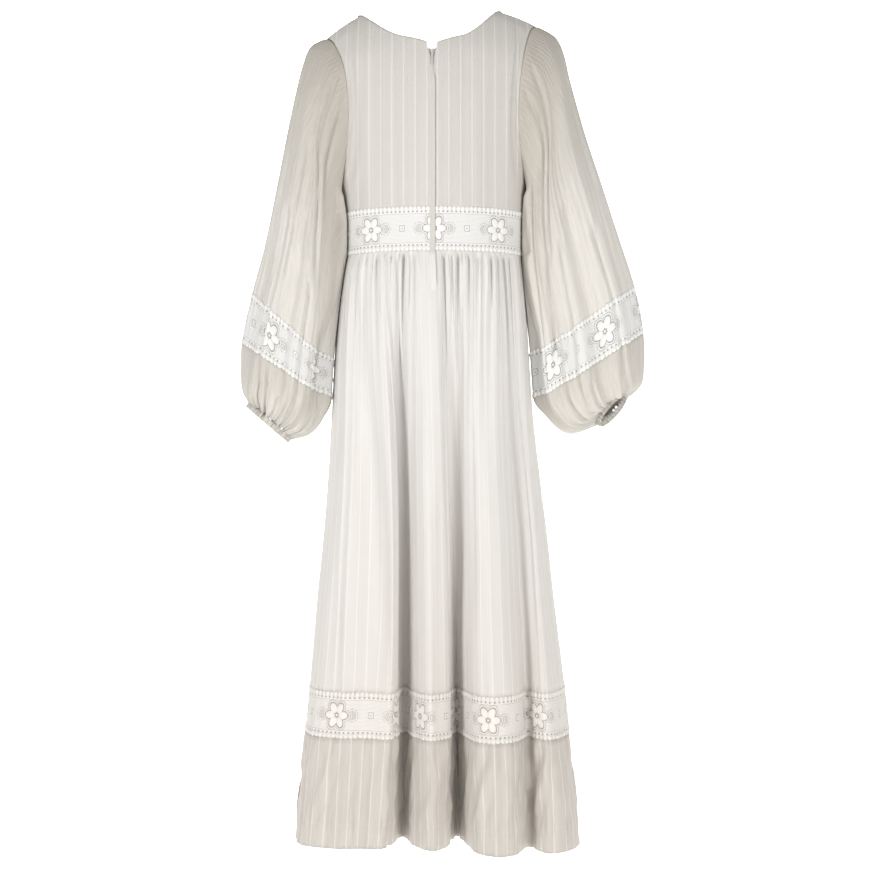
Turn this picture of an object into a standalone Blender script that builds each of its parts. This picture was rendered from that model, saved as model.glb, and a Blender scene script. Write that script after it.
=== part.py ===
"""A long lace dress with bishop sleeves, holding its worn shape with nobody inside it.

Metres, +Z up. The front faces -Y and the back, with its zip, faces +Y, so +X is the
wearer's left. The origin is where the wearer's neck and shoulders carry the dress.
Tables are in millimetres, and "drop" is the distance below the origin.
"""

import math

import bmesh
import bpy
from mathutils import Matrix, Vector

MM = 0.001

# Cloth thicknesses and the gap that every seam keeps between its two pieces
COTTON = 1.2 * MM
SHEER = 1.0 * MM
LACE = 1.4 * MM
HEM_FOLD = 2.2 * MM
SEAM = 0.34 * MM
OVERLAY = 0.5 * MM

# Heights of the cross seams, as drops below the origin
LACE_TOP = 344.0
LACE_FOOT = 415.0
HEM_LACE_TOP = 1150.0
HEM_LACE_FOOT = 1223.5
HEM = 1406.0
HEM_STITCH = 1366.0
ZIP_FOOT = 490.0

# Torso sections: half widths on each side, and depths behind and in front
TORSO = (
    # drop, left, right, back, front
    (0, 205, 203, 80, 80),
    (40, 200, 198, 84, 88),
    (100, 188, 186, 97, 104),
    (160, 178, 175, 103, 121),
    (230, 167, 164, 104, 134),
    (294, 161, 158, 103, 131),
    (344, 152, 152, 101, 116),
    (415, 149, 149, 100, 106),
)

# Each shoulder seam runs from the neck to the sleeve head
SHOULDERS = {
    # side: neck x, neck drop, tip x, tip drop
    1: (126, 2, 185, 40),
    -1: (108, -5, 173, 19),
}
CLOSING_HEIGHT = 100.0
CLOSING_ARC = 150.0

# Armhole edges from the underarm to the sleeve head, as x and drop at the back and front
ARMHOLES = {
    1: (
        # share, back x, back drop, front x, front drop
        (0.0, 161, 294, 161, 294),
        (0.14, 154, 273, 152, 273),
        (0.30, 147, 228, 143, 230),
        (0.48, 145, 168, 138, 170),
        (0.68, 152, 104, 146, 104),
        (0.86, 170, 57, 168, 57),
        (1.0, 185, 40, 185, 40),
    ),
    -1: (
        (0.0, 158, 294, 158, 294),
        (0.14, 151, 273, 149, 273),
        (0.30, 144, 226, 140, 228),
        (0.48, 142, 160, 136, 162),
        (0.68, 149, 88, 144, 88),
        (0.86, 161, 38, 159, 38),
        (1.0, 173, 19, 173, 19),
    ),
}
UNDERARM_SHARE = 0.18
SLEEVE_STRIPS = {1: 20, -1: 18}

# Necklines from the centre to the shoulder seam, as shares of the neck x and as drops
NECK_SHARE = 0.6
BODICE_COLUMNS = (0.0, 0.13, 0.26, 0.38, 0.48, 0.55, 0.6, 0.7, 0.8, 0.9, 1.0)
BACK_NECK = (
    # share, x share, drop
    (0.0, 0.07, 69),
    (0.18, 0.30, 62),
    (0.42, 0.60, 46),
    (0.73, 0.87, 19),
    (1.0, 1.0, 2),
)
FRONT_NECK = (
    (0.0, 0.0, 150),
    (0.17, 0.33, 143),
    (0.38, 0.66, 112),
    (0.66, 0.92, 52),
    (1.0, 1.0, 2),
)

# The zip's line down the centre back, and how far the two sides part at the nape
ZIP_LINE = (
    # drop, x of the line, half the gap
    (66, 4.0, 8.6),
    (76, 4.2, 6.8),
    (88, 4.2, 4.0),
    (99, 3.2, 0.3),
    (125, 0.8, 0.3),
    (155, 0.0, 0.3),
    (415, 0.0, 0.3),
)

# Half widths of the skirt from the waist to the hem
SKIRT_WIDTHS = (
    # drop, left, right
    (415, 149, 149),
    (440, 154, 151),
    (500, 163, 156),
    (600, 172, 163),
    (700, 177, 170),
    (800, 183, 181),
    (900, 191, 193),
    (1000, 201, 203),
    (1100, 209, 215),
    (1200, 218, 226),
    (1300, 228, 236),
    (1406, 236, 244),
)
SKIRT_MID = 870.0

# Ridges and valleys of the skirt's cloth, in order round it from the left side by the back.
# Each has its angle at the waist from the centre back, its x as a share of the half width
# and its y at mid skirt and hem, and the number of cloth strips to the next line.
SKIRT_FOLDS = (
    # waist angle, mid share, mid y, hem share, hem y, strips
    (90, 1.00, 4, 1.00, 26, 2),
    (77, 0.93, 50, 0.955, 78, 4),
    (58, 0.76, 84, 0.72, 111, 3),
    (46, 0.55, 88, 0.52, 109, 2),
    (37, 0.385, 110, 0.38, 110, 3),
    (29, 0.315, 94, 0.305, 84, 2),
    (23, 0.26, 62, 0.23, 30, 3),
    (16, 0.185, 94, 0.145, 88, 2),
    (8, 0.06, 121, 0.02, 124, 2),
    (0, -0.085, 110, -0.085, 96, 4),
    (-9, -0.17, 70, -0.158, 26, 3),
    (-18, -0.26, 98, -0.224, 84, 3),
    (-27, -0.36, 121, -0.30, 142, 2),
    (-36, -0.49, 125, -0.43, 160, 2),
    (-44, -0.63, 106, -0.55, 144, 3),
    (-53, -0.745, 74, -0.635, 98, 3),
    (-64, -0.86, 80, -0.77, 138, 2),
    (-77, -0.95, 58, -0.93, 114, 3),
    (-90, -1.00, 8, -1.00, 52, 3),
    (-107, -0.95, -48, -0.93, -26, 3),
    (-122, -0.78, -82, -0.75, -98, 3),
    (-134, -0.62, -74, -0.60, -66, 3),
    (-146, -0.46, -106, -0.44, -124, 3),
    (-158, -0.31, -84, -0.29, -58, 3),
    (-170, -0.15, -120, -0.15, -134, 3),
    (-181, 0.00, -94, 0.00, -62, 3),
    (-192, 0.16, -120, 0.15, -132, 3),
    (-204, 0.32, -84, 0.30, -56, 3),
    (-216, 0.47, -106, 0.45, -122, 3),
    (-228, 0.63, -74, 0.61, -64, 3),
    (-240, 0.79, -80, 0.77, -94, 3),
    (-254, 0.95, -46, 0.95, -40, 3),
)
BACK_SEAM_ROW = 9
RIGHT_SIDE_ROW = 18
GATHER_REACH = 250.0
GATHER_SWELL = 4.2

# Sleeve sections: the outer and inner ends of each slanting ring, and its half depth
SLEEVES = {
    1: (
        # along, outer x, outer drop, inner x, inner drop, half depth, centre y
        (0, 185, 40, 162, 295, 60, 0),
        (36, 213, 56, 159, 320, 62, 1),
        (67, 225, 84, 156, 348, 63, 2),
        (112, 236, 126, 154, 390, 64, 4),
        (191, 252, 203, 158, 440, 65, 6),
        (288, 271, 300, 167, 500, 66, 8),
        (392, 292, 403, 172, 552, 66, 10),
        (471, 312, 480, 177, 598, 68, 11),
        (552, 329, 564, 181, 660, 72, 12),
        (604, 330, 614, 194, 698, 66, 12),
        (642, 326, 648, 219, 720, 48, 11),
        (664, 316, 667, 246, 727, 28, 10),
    ),
    -1: (
        (0, 173, 19, 159, 295, 60, 0),
        (44, 208, 40, 157, 320, 62, 1),
        (75, 222, 68, 155, 348, 63, 2),
        (121, 233, 114, 153, 390, 64, 4),
        (209, 256, 199, 155, 437, 66, 7),
        (307, 286, 290, 160, 487, 67, 9),
        (406, 316, 385, 166, 537, 68, 11),
        (493, 342, 468, 171, 584, 70, 12),
        (574, 357, 547, 178, 659, 74, 13),
        (625, 358, 600, 194, 693, 68, 13),
        (670, 350, 640, 234, 718, 48, 13),
        (697, 322, 650, 277, 700, 27, 14),
    ),
}
SLEEVE_LACE = {1: (471.0, 552.0), -1: (493.0, 574.0)}
SLEEVE_END = {1: 664.0, -1: 697.0}
CUFF_LENGTH = 10.0
CUFF_TILT = {1: 2.0, -1: 11.0}
ARMHOLE_BLEND = 110.0
SETTLE = 200.0
ARMHOLE_SEAM = 0.7 * MM
SLEEVE_CLEAR = 2.2
CUFF_GATHER_REACH = 62.0
CUFF_GATHER_SWELL = 2.4
CASING_SWELL = 1.1

# Long soft folds of each sleeve: angle round it from its outer end by the back, and depth
SLEEVE_FOLDS = {
    1: (
        # angle high up, angle at the lace, depth at mid sleeve, at the lace, strips
        (0, 0, 0, 0, 4),
        (38, 42, 5, 14, 3),
        (58, 63, -2, -4, 2),
        (76, 80, 4, 13, 4),
        (104, 114, -3, -5, 4),
        (128, 150, 13, 26, 3),
        (180, 180, 0, 0, 4),
        (222, 222, 7, 12, 3),
        (246, 246, -2, -4, 3),
        (275, 275, 6, 12, 3),
        (305, 305, -3, -4, 2),
        (330, 330, 5, 9, 3),
    ),
    -1: (
        (0, 0, 0, 0, 3),
        (36, 38, 6, 15, 2),
        (56, 58, -2, -4, 3),
        (80, 84, 4, 10, 3),
        (100, 106, -3, -5, 3),
        (122, 132, 9, 17, 2),
        (138, 147, -1, -2, 2),
        (152, 161, 10, 14, 2),
        (180, 180, 0, 0, 4),
        (220, 220, 7, 12, 3),
        (248, 248, -2, -4, 3),
        (276, 276, 6, 12, 4),
        (322, 322, 5, 9, 4),
    ),
}

# Neck lace, zip and the lap over the zip
NECK_LACE_WIDTH = 8.0
NECK_LACE_START = 7
LAP = (-1.2, 12.6)
LAP_TOP = 113.0
TAPE_HALF = 11.0
TAPE_TOP = 79.0
SLIDER_DROP = 84.0
SLIDER = (5.2, 7.4, 2.4)
SLIDER_SINK = 0.42
CHEEK = (0.8, 2.2, 3.4)
PIN_HEIGHT = 3.3
PIN_RADIUS = 0.45
EYE_RADII = (0.9, 1.4)
PULL = (3.2, 25.0, 0.8)
PULL_REST = 6.0

COLOURS = {
    # finish: colour, roughness, metallic
    "cotton": ((0.86, 0.84, 0.80), 0.85, 0.0),
    "sheer": ((0.82, 0.80, 0.75), 0.8, 0.0),
    "lace": ((0.90, 0.89, 0.86), 0.8, 0.0),
    "tape": ((0.84, 0.82, 0.77), 0.8, 0.0),
    "metal": ((0.55, 0.54, 0.52), 0.35, 1.0),
}


def spline(rows, at, period=None, turn=()):
    """The other columns of a table at a value of its first column, by smooth cubic curves.

    With a period the table is a closed loop, and turn says how much each column grows
    in one lap.
    """
    count = len(rows)
    lap = 0
    if period:
        lap = math.floor(at / period)
        at -= lap * period

    def knot(index):
        """The row at an index that may run past either end."""
        if not period:
            return rows[min(max(index, 0), count - 1)]
        laps, place = divmod(index, count)
        row = rows[place]
        grown = [value + laps * turn[i] for i, value in enumerate(row[1:])]
        return (row[0] + laps * period, *grown)

    start = 0
    while start < count - (1 if period else 2) and knot(start + 1)[0] <= at:
        start += 1
    before, first, second, after = (knot(start + i) for i in (-1, 0, 1, 2))
    span = second[0] - first[0]
    f = (at - first[0]) / span
    f = min(max(f, 0.0), 1.0)
    values = []
    for i in range(1, len(first)):
        slope_in = (second[i] - before[i]) / (second[0] - before[0])
        slope_out = (after[i] - first[i]) / (after[0] - first[0])
        value = (2 * f**3 - 3 * f**2 + 1) * first[i] + (3 * f**2 - 2 * f**3) * second[i]
        value += (f**3 - 2 * f**2 + f) * span * slope_in + (f**3 - f**2) * span * slope_out
        values.append(value + (lap * turn[i - 1] if period else 0.0))
    return values


def ease(f):
    """A soft step from 0 to 1."""
    f = min(max(f, 0.0), 1.0)
    return f * f * (3 - 2 * f)


def lerp(a, b, f):
    return a + (b - a) * f


def place(x, y, drop):
    """A point in metres from millimetres across, deep and down."""
    return Vector((x * MM, y * MM, -drop * MM))


def torso(angle, drop):
    """The outer surface of the band under the bust. The angle runs from the centre back."""
    left, right, back, front = spline(TORSO, drop)
    sine, cosine = math.sin(angle), math.cos(angle)
    return place((left if sine >= 0 else right) * sine, (back if cosine >= 0 else front) * cosine, drop)


def ridge_drop(side, x):
    """How far below the origin the shoulder ridge lies at this x."""
    neck_x, neck_drop, tip_x, tip_drop = SHOULDERS[side]
    steepness = (tip_drop - neck_drop) / (tip_x**2 - neck_x**2)
    return neck_drop + steepness * (x**2 - neck_x**2)


def arc_below_ridge(side, x, drop):
    """Distance over the cloth from the shoulder ridge down to this drop."""
    height = max(drop - ridge_drop(side, x), 0.0)
    if height < CLOSING_HEIGHT:
        return CLOSING_ARC * math.acos(1 - height / CLOSING_HEIGHT) / (math.pi / 2)
    return CLOSING_ARC + height - CLOSING_HEIGHT


def bodice_chart(side, x, drop):
    """Turns x and drop into the bodice's own two measures: angle, and arc below the ridge."""
    widths = spline(TORSO, drop)
    width = widths[0] if side > 0 else widths[1]
    return (math.asin(min(max(x / width, -1.0), 1.0)), arc_below_ridge(side, x, drop))


def bodice_from_chart(side, face, angle, arc):
    """The point of the bodice with this angle and arc."""
    if arc < CLOSING_ARC:
        turn = arc / CLOSING_ARC * math.pi / 2
        height, depth_share = CLOSING_HEIGHT * (1 - math.cos(turn)), math.sin(turn)
    else:
        height, depth_share = CLOSING_HEIGHT + arc - CLOSING_ARC, 1.0
    x = 150.0 * math.sin(angle)
    for _ in range(6):
        drop = ridge_drop(side, abs(x)) + height
        left, right, back, front = spline(TORSO, drop)
        x = (left if side > 0 else right) * math.sin(angle)
    depth = back if face > 0 else front
    return place(side * x, face * depth * math.cos(angle) * depth_share, drop)


def centre_x(side, face, drop):
    """Distance from the middle plane to the panel's centre edge, on its own side."""
    if face < 0:
        return 0.0
    line, gap = spline(ZIP_LINE, max(drop, ZIP_LINE[0][0]))
    return side * line + gap


def top_edge(side, face, s):
    """The neckline and then the shoulder seam, from the centre outwards."""
    neck_x, neck_drop, tip_x, tip_drop = SHOULDERS[side]
    if s < NECK_SHARE:
        x_share, drop = spline(FRONT_NECK if face < 0 else BACK_NECK, s / NECK_SHARE)
        f = ease(s / NECK_SHARE)
        drop += (neck_drop - FRONT_NECK[-1][2]) * f
        x = x_share * neck_x
        if face > 0:
            x = lerp(centre_x(side, face, drop), x, min(s / NECK_SHARE / 0.3, 1.0))
    else:
        f = (s - NECK_SHARE) / (1 - NECK_SHARE)
        x = lerp(neck_x, tip_x, f)
        drop = ridge_drop(side, x)
    return bodice_chart(side, x, drop)


def side_edge(side, face, t):
    """The side seam and then the armhole, from the waist lace up."""
    if t < UNDERARM_SHARE:
        underarm = ARMHOLES[side][0][2]
        drop = lerp(LACE_TOP, underarm, t / UNDERARM_SHARE)
        widths = spline(TORSO, drop)
        return bodice_chart(side, widths[0] if side > 0 else widths[1], drop)
    share = (t - UNDERARM_SHARE) / (1 - UNDERARM_SHARE)
    back_x, back_drop, front_x, front_drop = spline(ARMHOLES[side], share)
    if face > 0:
        return bodice_chart(side, back_x, back_drop)
    return bodice_chart(side, front_x, front_drop)


def bodice(face, s, t):
    """The bodice's outer surface. face is 1 at the back, s runs from -1 on the right to 1
    on the left, and t from the waist lace up to the neckline and shoulder."""
    side = 1 if s > 0 or (s == 0 and face < 0) else -1
    s = abs(s)
    nape = spline(FRONT_NECK if face < 0 else BACK_NECK, 0.0)[1]

    def centre(height):
        drop = lerp(LACE_TOP, nape, height)
        return bodice_chart(side, centre_x(side, face, drop), drop)

    def foot(across):
        angle = lerp(centre(0.0)[0], math.pi / 2, across)
        widths = spline(TORSO, LACE_TOP)
        x = (widths[0] if side > 0 else widths[1]) * math.sin(angle)
        return (angle, arc_below_ridge(side, x, LACE_TOP))

    def plain_top(across):
        """The top edge as if it had no corner at the neck."""
        start, end = centre(1.0), top_edge(side, face, 1.0)
        outward = 3.2 * (across * (1 - across)) ** 2
        return (lerp(start[0], end[0], across) + outward, start[1] * (1 - across) ** 1.2)

    chart = []
    for i in (0, 1):
        value = lerp(foot(s)[i], plain_top(s)[i], t)
        value += (top_edge(side, face, s)[i] - plain_top(s)[i]) * t ** (8, 3)[i]
        straight_centre = lerp(foot(0.0)[i], plain_top(0.0)[i], t)
        value += (centre(t)[i] - straight_centre) * (1 - s)
        straight_side = lerp(foot(1.0)[i], plain_top(1.0)[i], t)
        value += (side_edge(side, face, t)[i] - straight_side) * s**2.2
        chart.append(value)
    return bodice_from_chart(side, face, chart[0], max(chart[1], 0.0))


FOLD_STARTS = [sum(row[5] for row in SKIRT_FOLDS[:i]) for i in range(len(SKIRT_FOLDS) + 1)]
SKIRT_STRIPS = FOLD_STARTS[-1]
SKIRT_KNOTS = tuple((start, *row[:5]) for start, row in zip(FOLD_STARTS, SKIRT_FOLDS))


def skirt(strip, drop):
    """The skirt's outer surface, a number of cloth strips round from the left side."""
    waist_angle, mid_share, mid_y, hem_share, hem_y = spline(
        SKIRT_KNOTS, strip, SKIRT_STRIPS, (-360, 0, 0, 0, 0)
    )
    angle = math.radians(waist_angle)
    seam = torso(angle, LACE_FOOT) / MM
    left, right = spline(SKIRT_WIDTHS, drop)
    f = (drop - LACE_FOOT) / (HEM - LACE_FOOT)
    mid = (SKIRT_MID - LACE_FOOT) / (HEM - LACE_FOOT)
    at_waist = (f - mid) * (f - 1) / mid
    at_mid = f * (1 - f) / (mid * (1 - mid))
    at_hem = f * (f - mid) / (1 - mid)
    share = at_waist * math.sin(angle) + at_mid * mid_share + at_hem * hem_share
    x = share * (left if share >= 0 else right)
    y = at_waist * seam.y + at_mid * mid_y + at_hem * hem_y
    below = drop - LACE_FOOT
    swell = 7.0 * (1 - math.exp(-below / 28)) * (1 - ease(below / 420))
    reach = ease(below / 26) * (1 - ease((below - 40) / GATHER_REACH))
    evenness = 0.78 + 0.22 * math.sin(1.7 * strip + 0.6)
    near_zip = 1 - 0.95 * math.exp(-((strip - FOLD_STARTS[BACK_SEAM_ROW]) / 3.0) ** 2)
    gather = GATHER_SWELL * reach * evenness * near_zip
    gather *= math.cos(math.pi * strip)
    out = swell * abs(math.cos(angle)) + gather
    return place(x + out * math.sin(angle) * abs(math.sin(angle)) * 0.4, y + out * math.cos(angle), drop)


def bodice_rows(face):
    """Heights of the bodice's rows, with as many above the underarm as half the sleeve's
    strips, so that the two seam lines match."""
    count = SLEEVE_STRIPS[face] // 2
    above = [lerp(1.0, UNDERARM_SHARE, (i / count) ** 1.2) for i in range(count, -1, -1)]
    return [0.0, UNDERARM_SHARE / 2, *above]


def armhole(side, strip):
    """The point of the bodice's armhole where this strip of the sleeve is sewn on."""
    back = SLEEVE_STRIPS[1]
    strip %= back + SLEEVE_STRIPS[-1]
    face = 1 if strip <= back else -1
    up = (back - strip) / 2 if face > 0 else (strip - back) / 2
    rows = bodice_rows(face)[2:]
    low = min(int(up), len(rows) - 2)
    ends = [bodice_from_chart(side, face, *side_edge(side, face, t)) for t in rows[low : low + 2]]
    return ends[0].lerp(ends[1], up - low)


def body_side(side, y, drop):
    """How far out the dress's own side reaches at this depth and drop."""
    if drop < LACE_FOOT:
        left, right, back, front = spline(TORSO, drop)
        depth, more = (back if y > 0 else front), 0.0
    else:
        left, right = spline(SKIRT_WIDTHS, drop)
        depth, more = 130.0, 2.5 * ease((drop - LACE_FOOT) / 20)
    width = left if side > 0 else right
    return width * math.sqrt(max(1 - (y / depth) ** 2, 0.0)) + more


def sleeve_loop(side):
    """The sleeve's fold table with each row's place counted in cloth strips."""
    rows, strips = [], 0
    for row in SLEEVE_FOLDS[side]:
        rows.append((strips, *row[:4]))
        strips += row[4]
    return rows, strips


def sleeve(side, strip, along):
    """The sleeve's outer surface, strips round from its outer end and millimetres along."""
    rows, strips = sleeve_loop(side)
    high, low, mid_fold, lace_fold = spline(rows, strip, strips, (360, 360, 0, 0))
    lace_top = SLEEVE_LACE[side][0]
    end = SLEEVE_END[side]
    angle = lerp(high, low, ease(along / lace_top))
    edge = armhole(side, strip) + Vector((side * ARMHOLE_SEAM, 0, 0))
    underarm, tip = ARMHOLES[side][0][2], ARMHOLES[side][-1][2]
    head_mid, head_arm = (underarm + tip) / 2, (underarm - tip) / 2
    sewn = math.degrees(math.acos(min(max((head_mid + edge.z / MM) / head_arm, -1.0), 1.0)))
    sewn = sewn if strip % strips <= SLEEVE_STRIPS[1] else 360 - sewn
    if along < SETTLE:
        angle = lerp(sewn + 360 * (strip // strips), angle, ease(along / SETTLE))
    outer_x, outer_drop, inner_x, inner_drop, depth, centre_y = spline(SLEEVES[side], min(along, end))
    if along < lace_top:
        fold = mid_fold * ease(along / 160)
        fold = lerp(fold, lace_fold, ease((along - 220) / (lace_top - 220)))
    else:
        fold = lace_fold * (1 - ease((along - lace_top - 60) / (end - lace_top - 60)))
    a = math.radians(angle)
    middle = Vector(((outer_x + inner_x) / 2, centre_y, (outer_drop + inner_drop) / 2))
    arm = Vector(((outer_x - inner_x) / 2, 0, (outer_drop - inner_drop) / 2))
    back = Vector((0, depth, 0))
    outward = arm / arm.length * math.cos(a) / arm.length + back / depth * math.sin(a) / depth
    outward.normalize()
    left_to_end = end - along
    wave = lerp(CASING_SWELL, CUFF_GATHER_SWELL, ease(left_to_end / 18))
    wave *= (1 - ease((left_to_end - 18) / CUFF_GATHER_REACH)) * math.cos(math.pi * strip)
    point = middle + arm * math.cos(a) + back * math.sin(a) + outward * (wave - fold)
    if left_to_end < CUFF_GATHER_REACH or along > end:
        axis = Vector((-arm.z, 0, arm.x)).normalized()
        axis *= -1 if axis.z < 0 else 1
        tilt = CUFF_TILT[side] * (1 - ease(left_to_end / CUFF_GATHER_REACH))
        point += axis * (max(along - end, 0.0) - tilt * math.sin(a))
    world = place(side * point.x, point.y, point.z)
    if along < ARMHOLE_BLEND:
        outer_x, outer_drop, inner_x, inner_drop, depth, centre_y = SLEEVES[side][0][1:]
        head_x = (outer_x + inner_x) / 2 + (outer_x - inner_x) / 2 * math.cos(a)
        head_drop = (outer_drop + inner_drop) / 2 + (outer_drop - inner_drop) / 2 * math.cos(a)
        head = place(side * head_x, centre_y + depth * math.sin(a), head_drop)
        world += (edge - head) * (1 - ease(along / ARMHOLE_BLEND))
    clear = lerp(ARMHOLE_SEAM / MM, SLEEVE_CLEAR, ease(along / 40))
    least = body_side(side, world.y / MM, -world.z / MM) + clear
    soft = 2.5 * ease(along / 40) + 1e-3
    spare = (side * world.x / MM - least) / soft
    if spare < 30:
        pushed = side * (least + soft * math.log1p(math.exp(max(spare, -30)))) * MM
        bow = min(abs(world.y) / MM / (60 if world.y > 0 else 78), 1.0)
        hole = ARMHOLES[side][0][2] - 160 * (1 - math.sqrt(1 - bow**2))
        world.x = lerp(world.x, pushed, ease((-world.z / MM - hole + 3) / 14))
    return world


def normal_of(surface, u, v, step_u, step_v, flat):
    """The unit normal of a surface at u, v. A flat one has no height, for cross seams."""
    du = surface(u + step_u, v) - surface(u - step_u, v)
    dv = surface(u, v + step_v) - surface(u, v - step_v)
    n = du.cross(dv)
    if flat:
        n.z = 0
    return n.normalized()


def material(name):
    colour, roughness, metallic = COLOURS[name]
    made = bpy.data.materials.get(name) or bpy.data.materials.new(name)
    made.use_nodes = True
    shader = made.node_tree.nodes["Principled BSDF"]
    shader.inputs["Base Color"].default_value = (*colour, 1)
    shader.inputs["Roughness"].default_value = roughness
    shader.inputs["Metallic"].default_value = metallic
    return made


def add_object(name, bm, finish):
    """Makes the bmesh an object: a part of the dress, or a hidden cutter with no finish."""
    bmesh.ops.recalc_face_normals(bm, faces=bm.faces)
    mesh = bpy.data.meshes.new(name)
    bm.to_mesh(mesh)
    bm.free()
    obj = bpy.data.objects.new(name, mesh)
    if finish is None:
        obj.hide_render = True
        obj.display_type = "WIRE"
        bpy.data.collections["cutters"].objects.link(obj)
        return obj
    mesh.shade_smooth()
    mesh.set_sharp_from_angle(angle=math.radians(50))
    mesh.materials.append(material(finish))
    bpy.data.collections["lace_dress"].objects.link(obj)
    return obj


def skin_triangles(rows, closed):
    """Triangles between rows of points, as triples of (row, place). A row with half as
    many strips meets its finer neighbour three triangles to a strip."""
    triangles = []
    for k, (upper, lower) in enumerate(zip(rows, rows[1:])):
        spans = [len(row) if closed else len(row) - 1 for row in (upper, lower)]
        coarse = min(spans)
        step_up, step_low = (span // coarse for span in spans)
        for i in range(coarse):
            a, b = (k, i * step_up), (k, (i + 1) * step_up % len(upper))
            c, d = (k + 1, (i + 1) * step_low % len(lower)), (k + 1, i * step_low)
            if step_up == 2:
                m = (k, 2 * i + 1)
                triangles += [(a, m, d), (m, c, d), (m, b, c)]
            elif step_low == 2:
                m = (k + 1, 2 * i + 1)
                triangles += [(a, b, m), (b, c, m), (a, m, d)]
            else:
                pa, pb, pc, pd = (rows[r][j] for r, j in (a, b, c, d))
                if (pa - pc).length <= (pb - pd).length:
                    triangles += [(a, b, c), (a, c, d)]
                else:
                    triangles += [(a, b, d), (b, c, d)]
    return triangles


def wall(name, outer, inner, finish, closed=False):
    """A closed thin solid between an outer and an inner grid of points."""
    bm = bmesh.new()
    grids = [[[bm.verts.new(p) for p in row] for row in grid] for grid in (outer, inner)]
    triangles = skin_triangles(outer, closed)
    for grid in grids:
        for triangle in triangles:
            bm.faces.new([grid[row][i] for row, i in triangle])
    for row in (0, -1):
        out, back = grids[0][row], grids[1][row]
        for i in range(len(out) if closed else len(out) - 1):
            j = (i + 1) % len(out)
            bm.faces.new((out[i], out[j], back[j], back[i]))
    if not closed:
        for end in (0, -1):
            for k in range(len(outer) - 1):
                a, b = grids[0][k][end], grids[0][k + 1][end]
                c, d = grids[1][k + 1][end], grids[1][k][end]
                bm.faces.new((a, b, c, d))
    return add_object(name, bm, finish)


def panel(name, surface, columns, rows, thick, finish, facing=1, lift=0.0, closed=False, gaps=True):
    """A wall on a surface(u, v). columns gives the u values of each row of rows, and thick
    the wall at each v. Its free edges stand back by half a seam."""
    steps = (1e-3, 1e-2)
    outer, inner = [], []
    for k, v in enumerate(rows):
        us = columns(k)
        cross = k in (0, len(rows) - 1)
        row_out, row_in = [], []
        for i, u in enumerate(us):
            n = normal_of(surface, u, v, *steps, flat=cross and gaps) * facing
            p = surface(u, v)
            if gaps and cross:
                toward = rows[1] if k == 0 else rows[-2]
                p = p + (surface(u, toward) - p).normalized() * SEAM / 2
            if gaps and not closed and i in (0, len(us) - 1):
                toward = us[1] if i == 0 else us[-2]
                p = p + (surface(toward, v) - p).normalized() * SEAM / 2
            row_out.append(p + n * lift)
            row_in.append(p + n * (lift - thick(v)))
        outer.append(row_out)
        inner.append(row_in)
    return wall(name, outer, inner, finish, closed)


def spread(start, end, count):
    return [lerp(start, end, i / count) for i in range(count + 1)]


def bodice_normal(face, s, t):
    """The bodice's outward normal, laid square to the piece's own seams."""
    side = 1 if s > 0 or (s == 0 and face < 0) else -1
    p = bodice(face, s, t)
    angle, arc = bodice_chart(side, side * p.x / MM, -p.z / MM)

    def around(a, b):
        return bodice_from_chart(side, face, angle + a, max(arc + b, 0.0))

    n = (around(0.01, 0) - around(-0.01, 0)).cross(around(0, 1) - around(0, -1)) * side * face
    if t == 0.0:
        n.z = 0
    if face > 0 and abs(s) < 4e-3:
        n.x = 0
    if abs(s) == 1.0 and t <= UNDERARM_SHARE or t == 1.0 and abs(s) >= NECK_SHARE:
        n.y = 0
    return n.normalized()


def build_bodice():
    """Two back panels beside the zip, and one front panel."""
    beside_zip = 1e-4
    pieces = {
        "bodice_back_left": (1, [max(s, beside_zip) for s in BODICE_COLUMNS]),
        "bodice_back_right": (1, [min(-s, -beside_zip) for s in BODICE_COLUMNS]),
        "bodice_front": (-1, [-s for s in BODICE_COLUMNS[:0:-1]] + list(BODICE_COLUMNS)),
    }
    for name, (face, shares) in pieces.items():
        outer, inner = [], []
        for t in bodice_rows(face):
            row_out, row_in = [], []
            for s in shares:
                n = bodice_normal(face, s, t)
                p = bodice(face, s, t)
                if t == 0.0:
                    p.z += SEAM / 2
                if t == 1.0 and abs(s) >= NECK_SHARE or abs(s) == 1.0 and t <= UNDERARM_SHARE:
                    p.y += face * SEAM / 2
                row_out.append(p)
                row_in.append(p - n * COTTON)
            outer.append(row_out)
            inner.append(row_in)
        wall(name, outer, inner, "cotton")


def build_waist_lace():
    """The lace band under the bust, in the bodice's three panels."""
    heights = spread(LACE_TOP, LACE_FOOT, 2)
    pieces = {
        "waist_lace_back_left": (0, 90, 10),
        "waist_lace_front": (90, 270, 18),
        "waist_lace_back_right": (270, 360, 10),
    }
    for name, (start, end, count) in pieces.items():
        columns = [math.radians(a) for a in spread(start, end, count)]
        panel(
            name,
            torso,
            lambda k, columns=columns: columns,
            heights,
            lambda v: LACE,
            "lace",
        )


def skirt_pieces():
    """The strips at which each panel of the skirt starts and ends."""
    back, right = FOLD_STARTS[BACK_SEAM_ROW], FOLD_STARTS[RIGHT_SIDE_ROW]
    return {"left": (0, back), "right": (back, right), "front": (right, SKIRT_STRIPS)}


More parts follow.
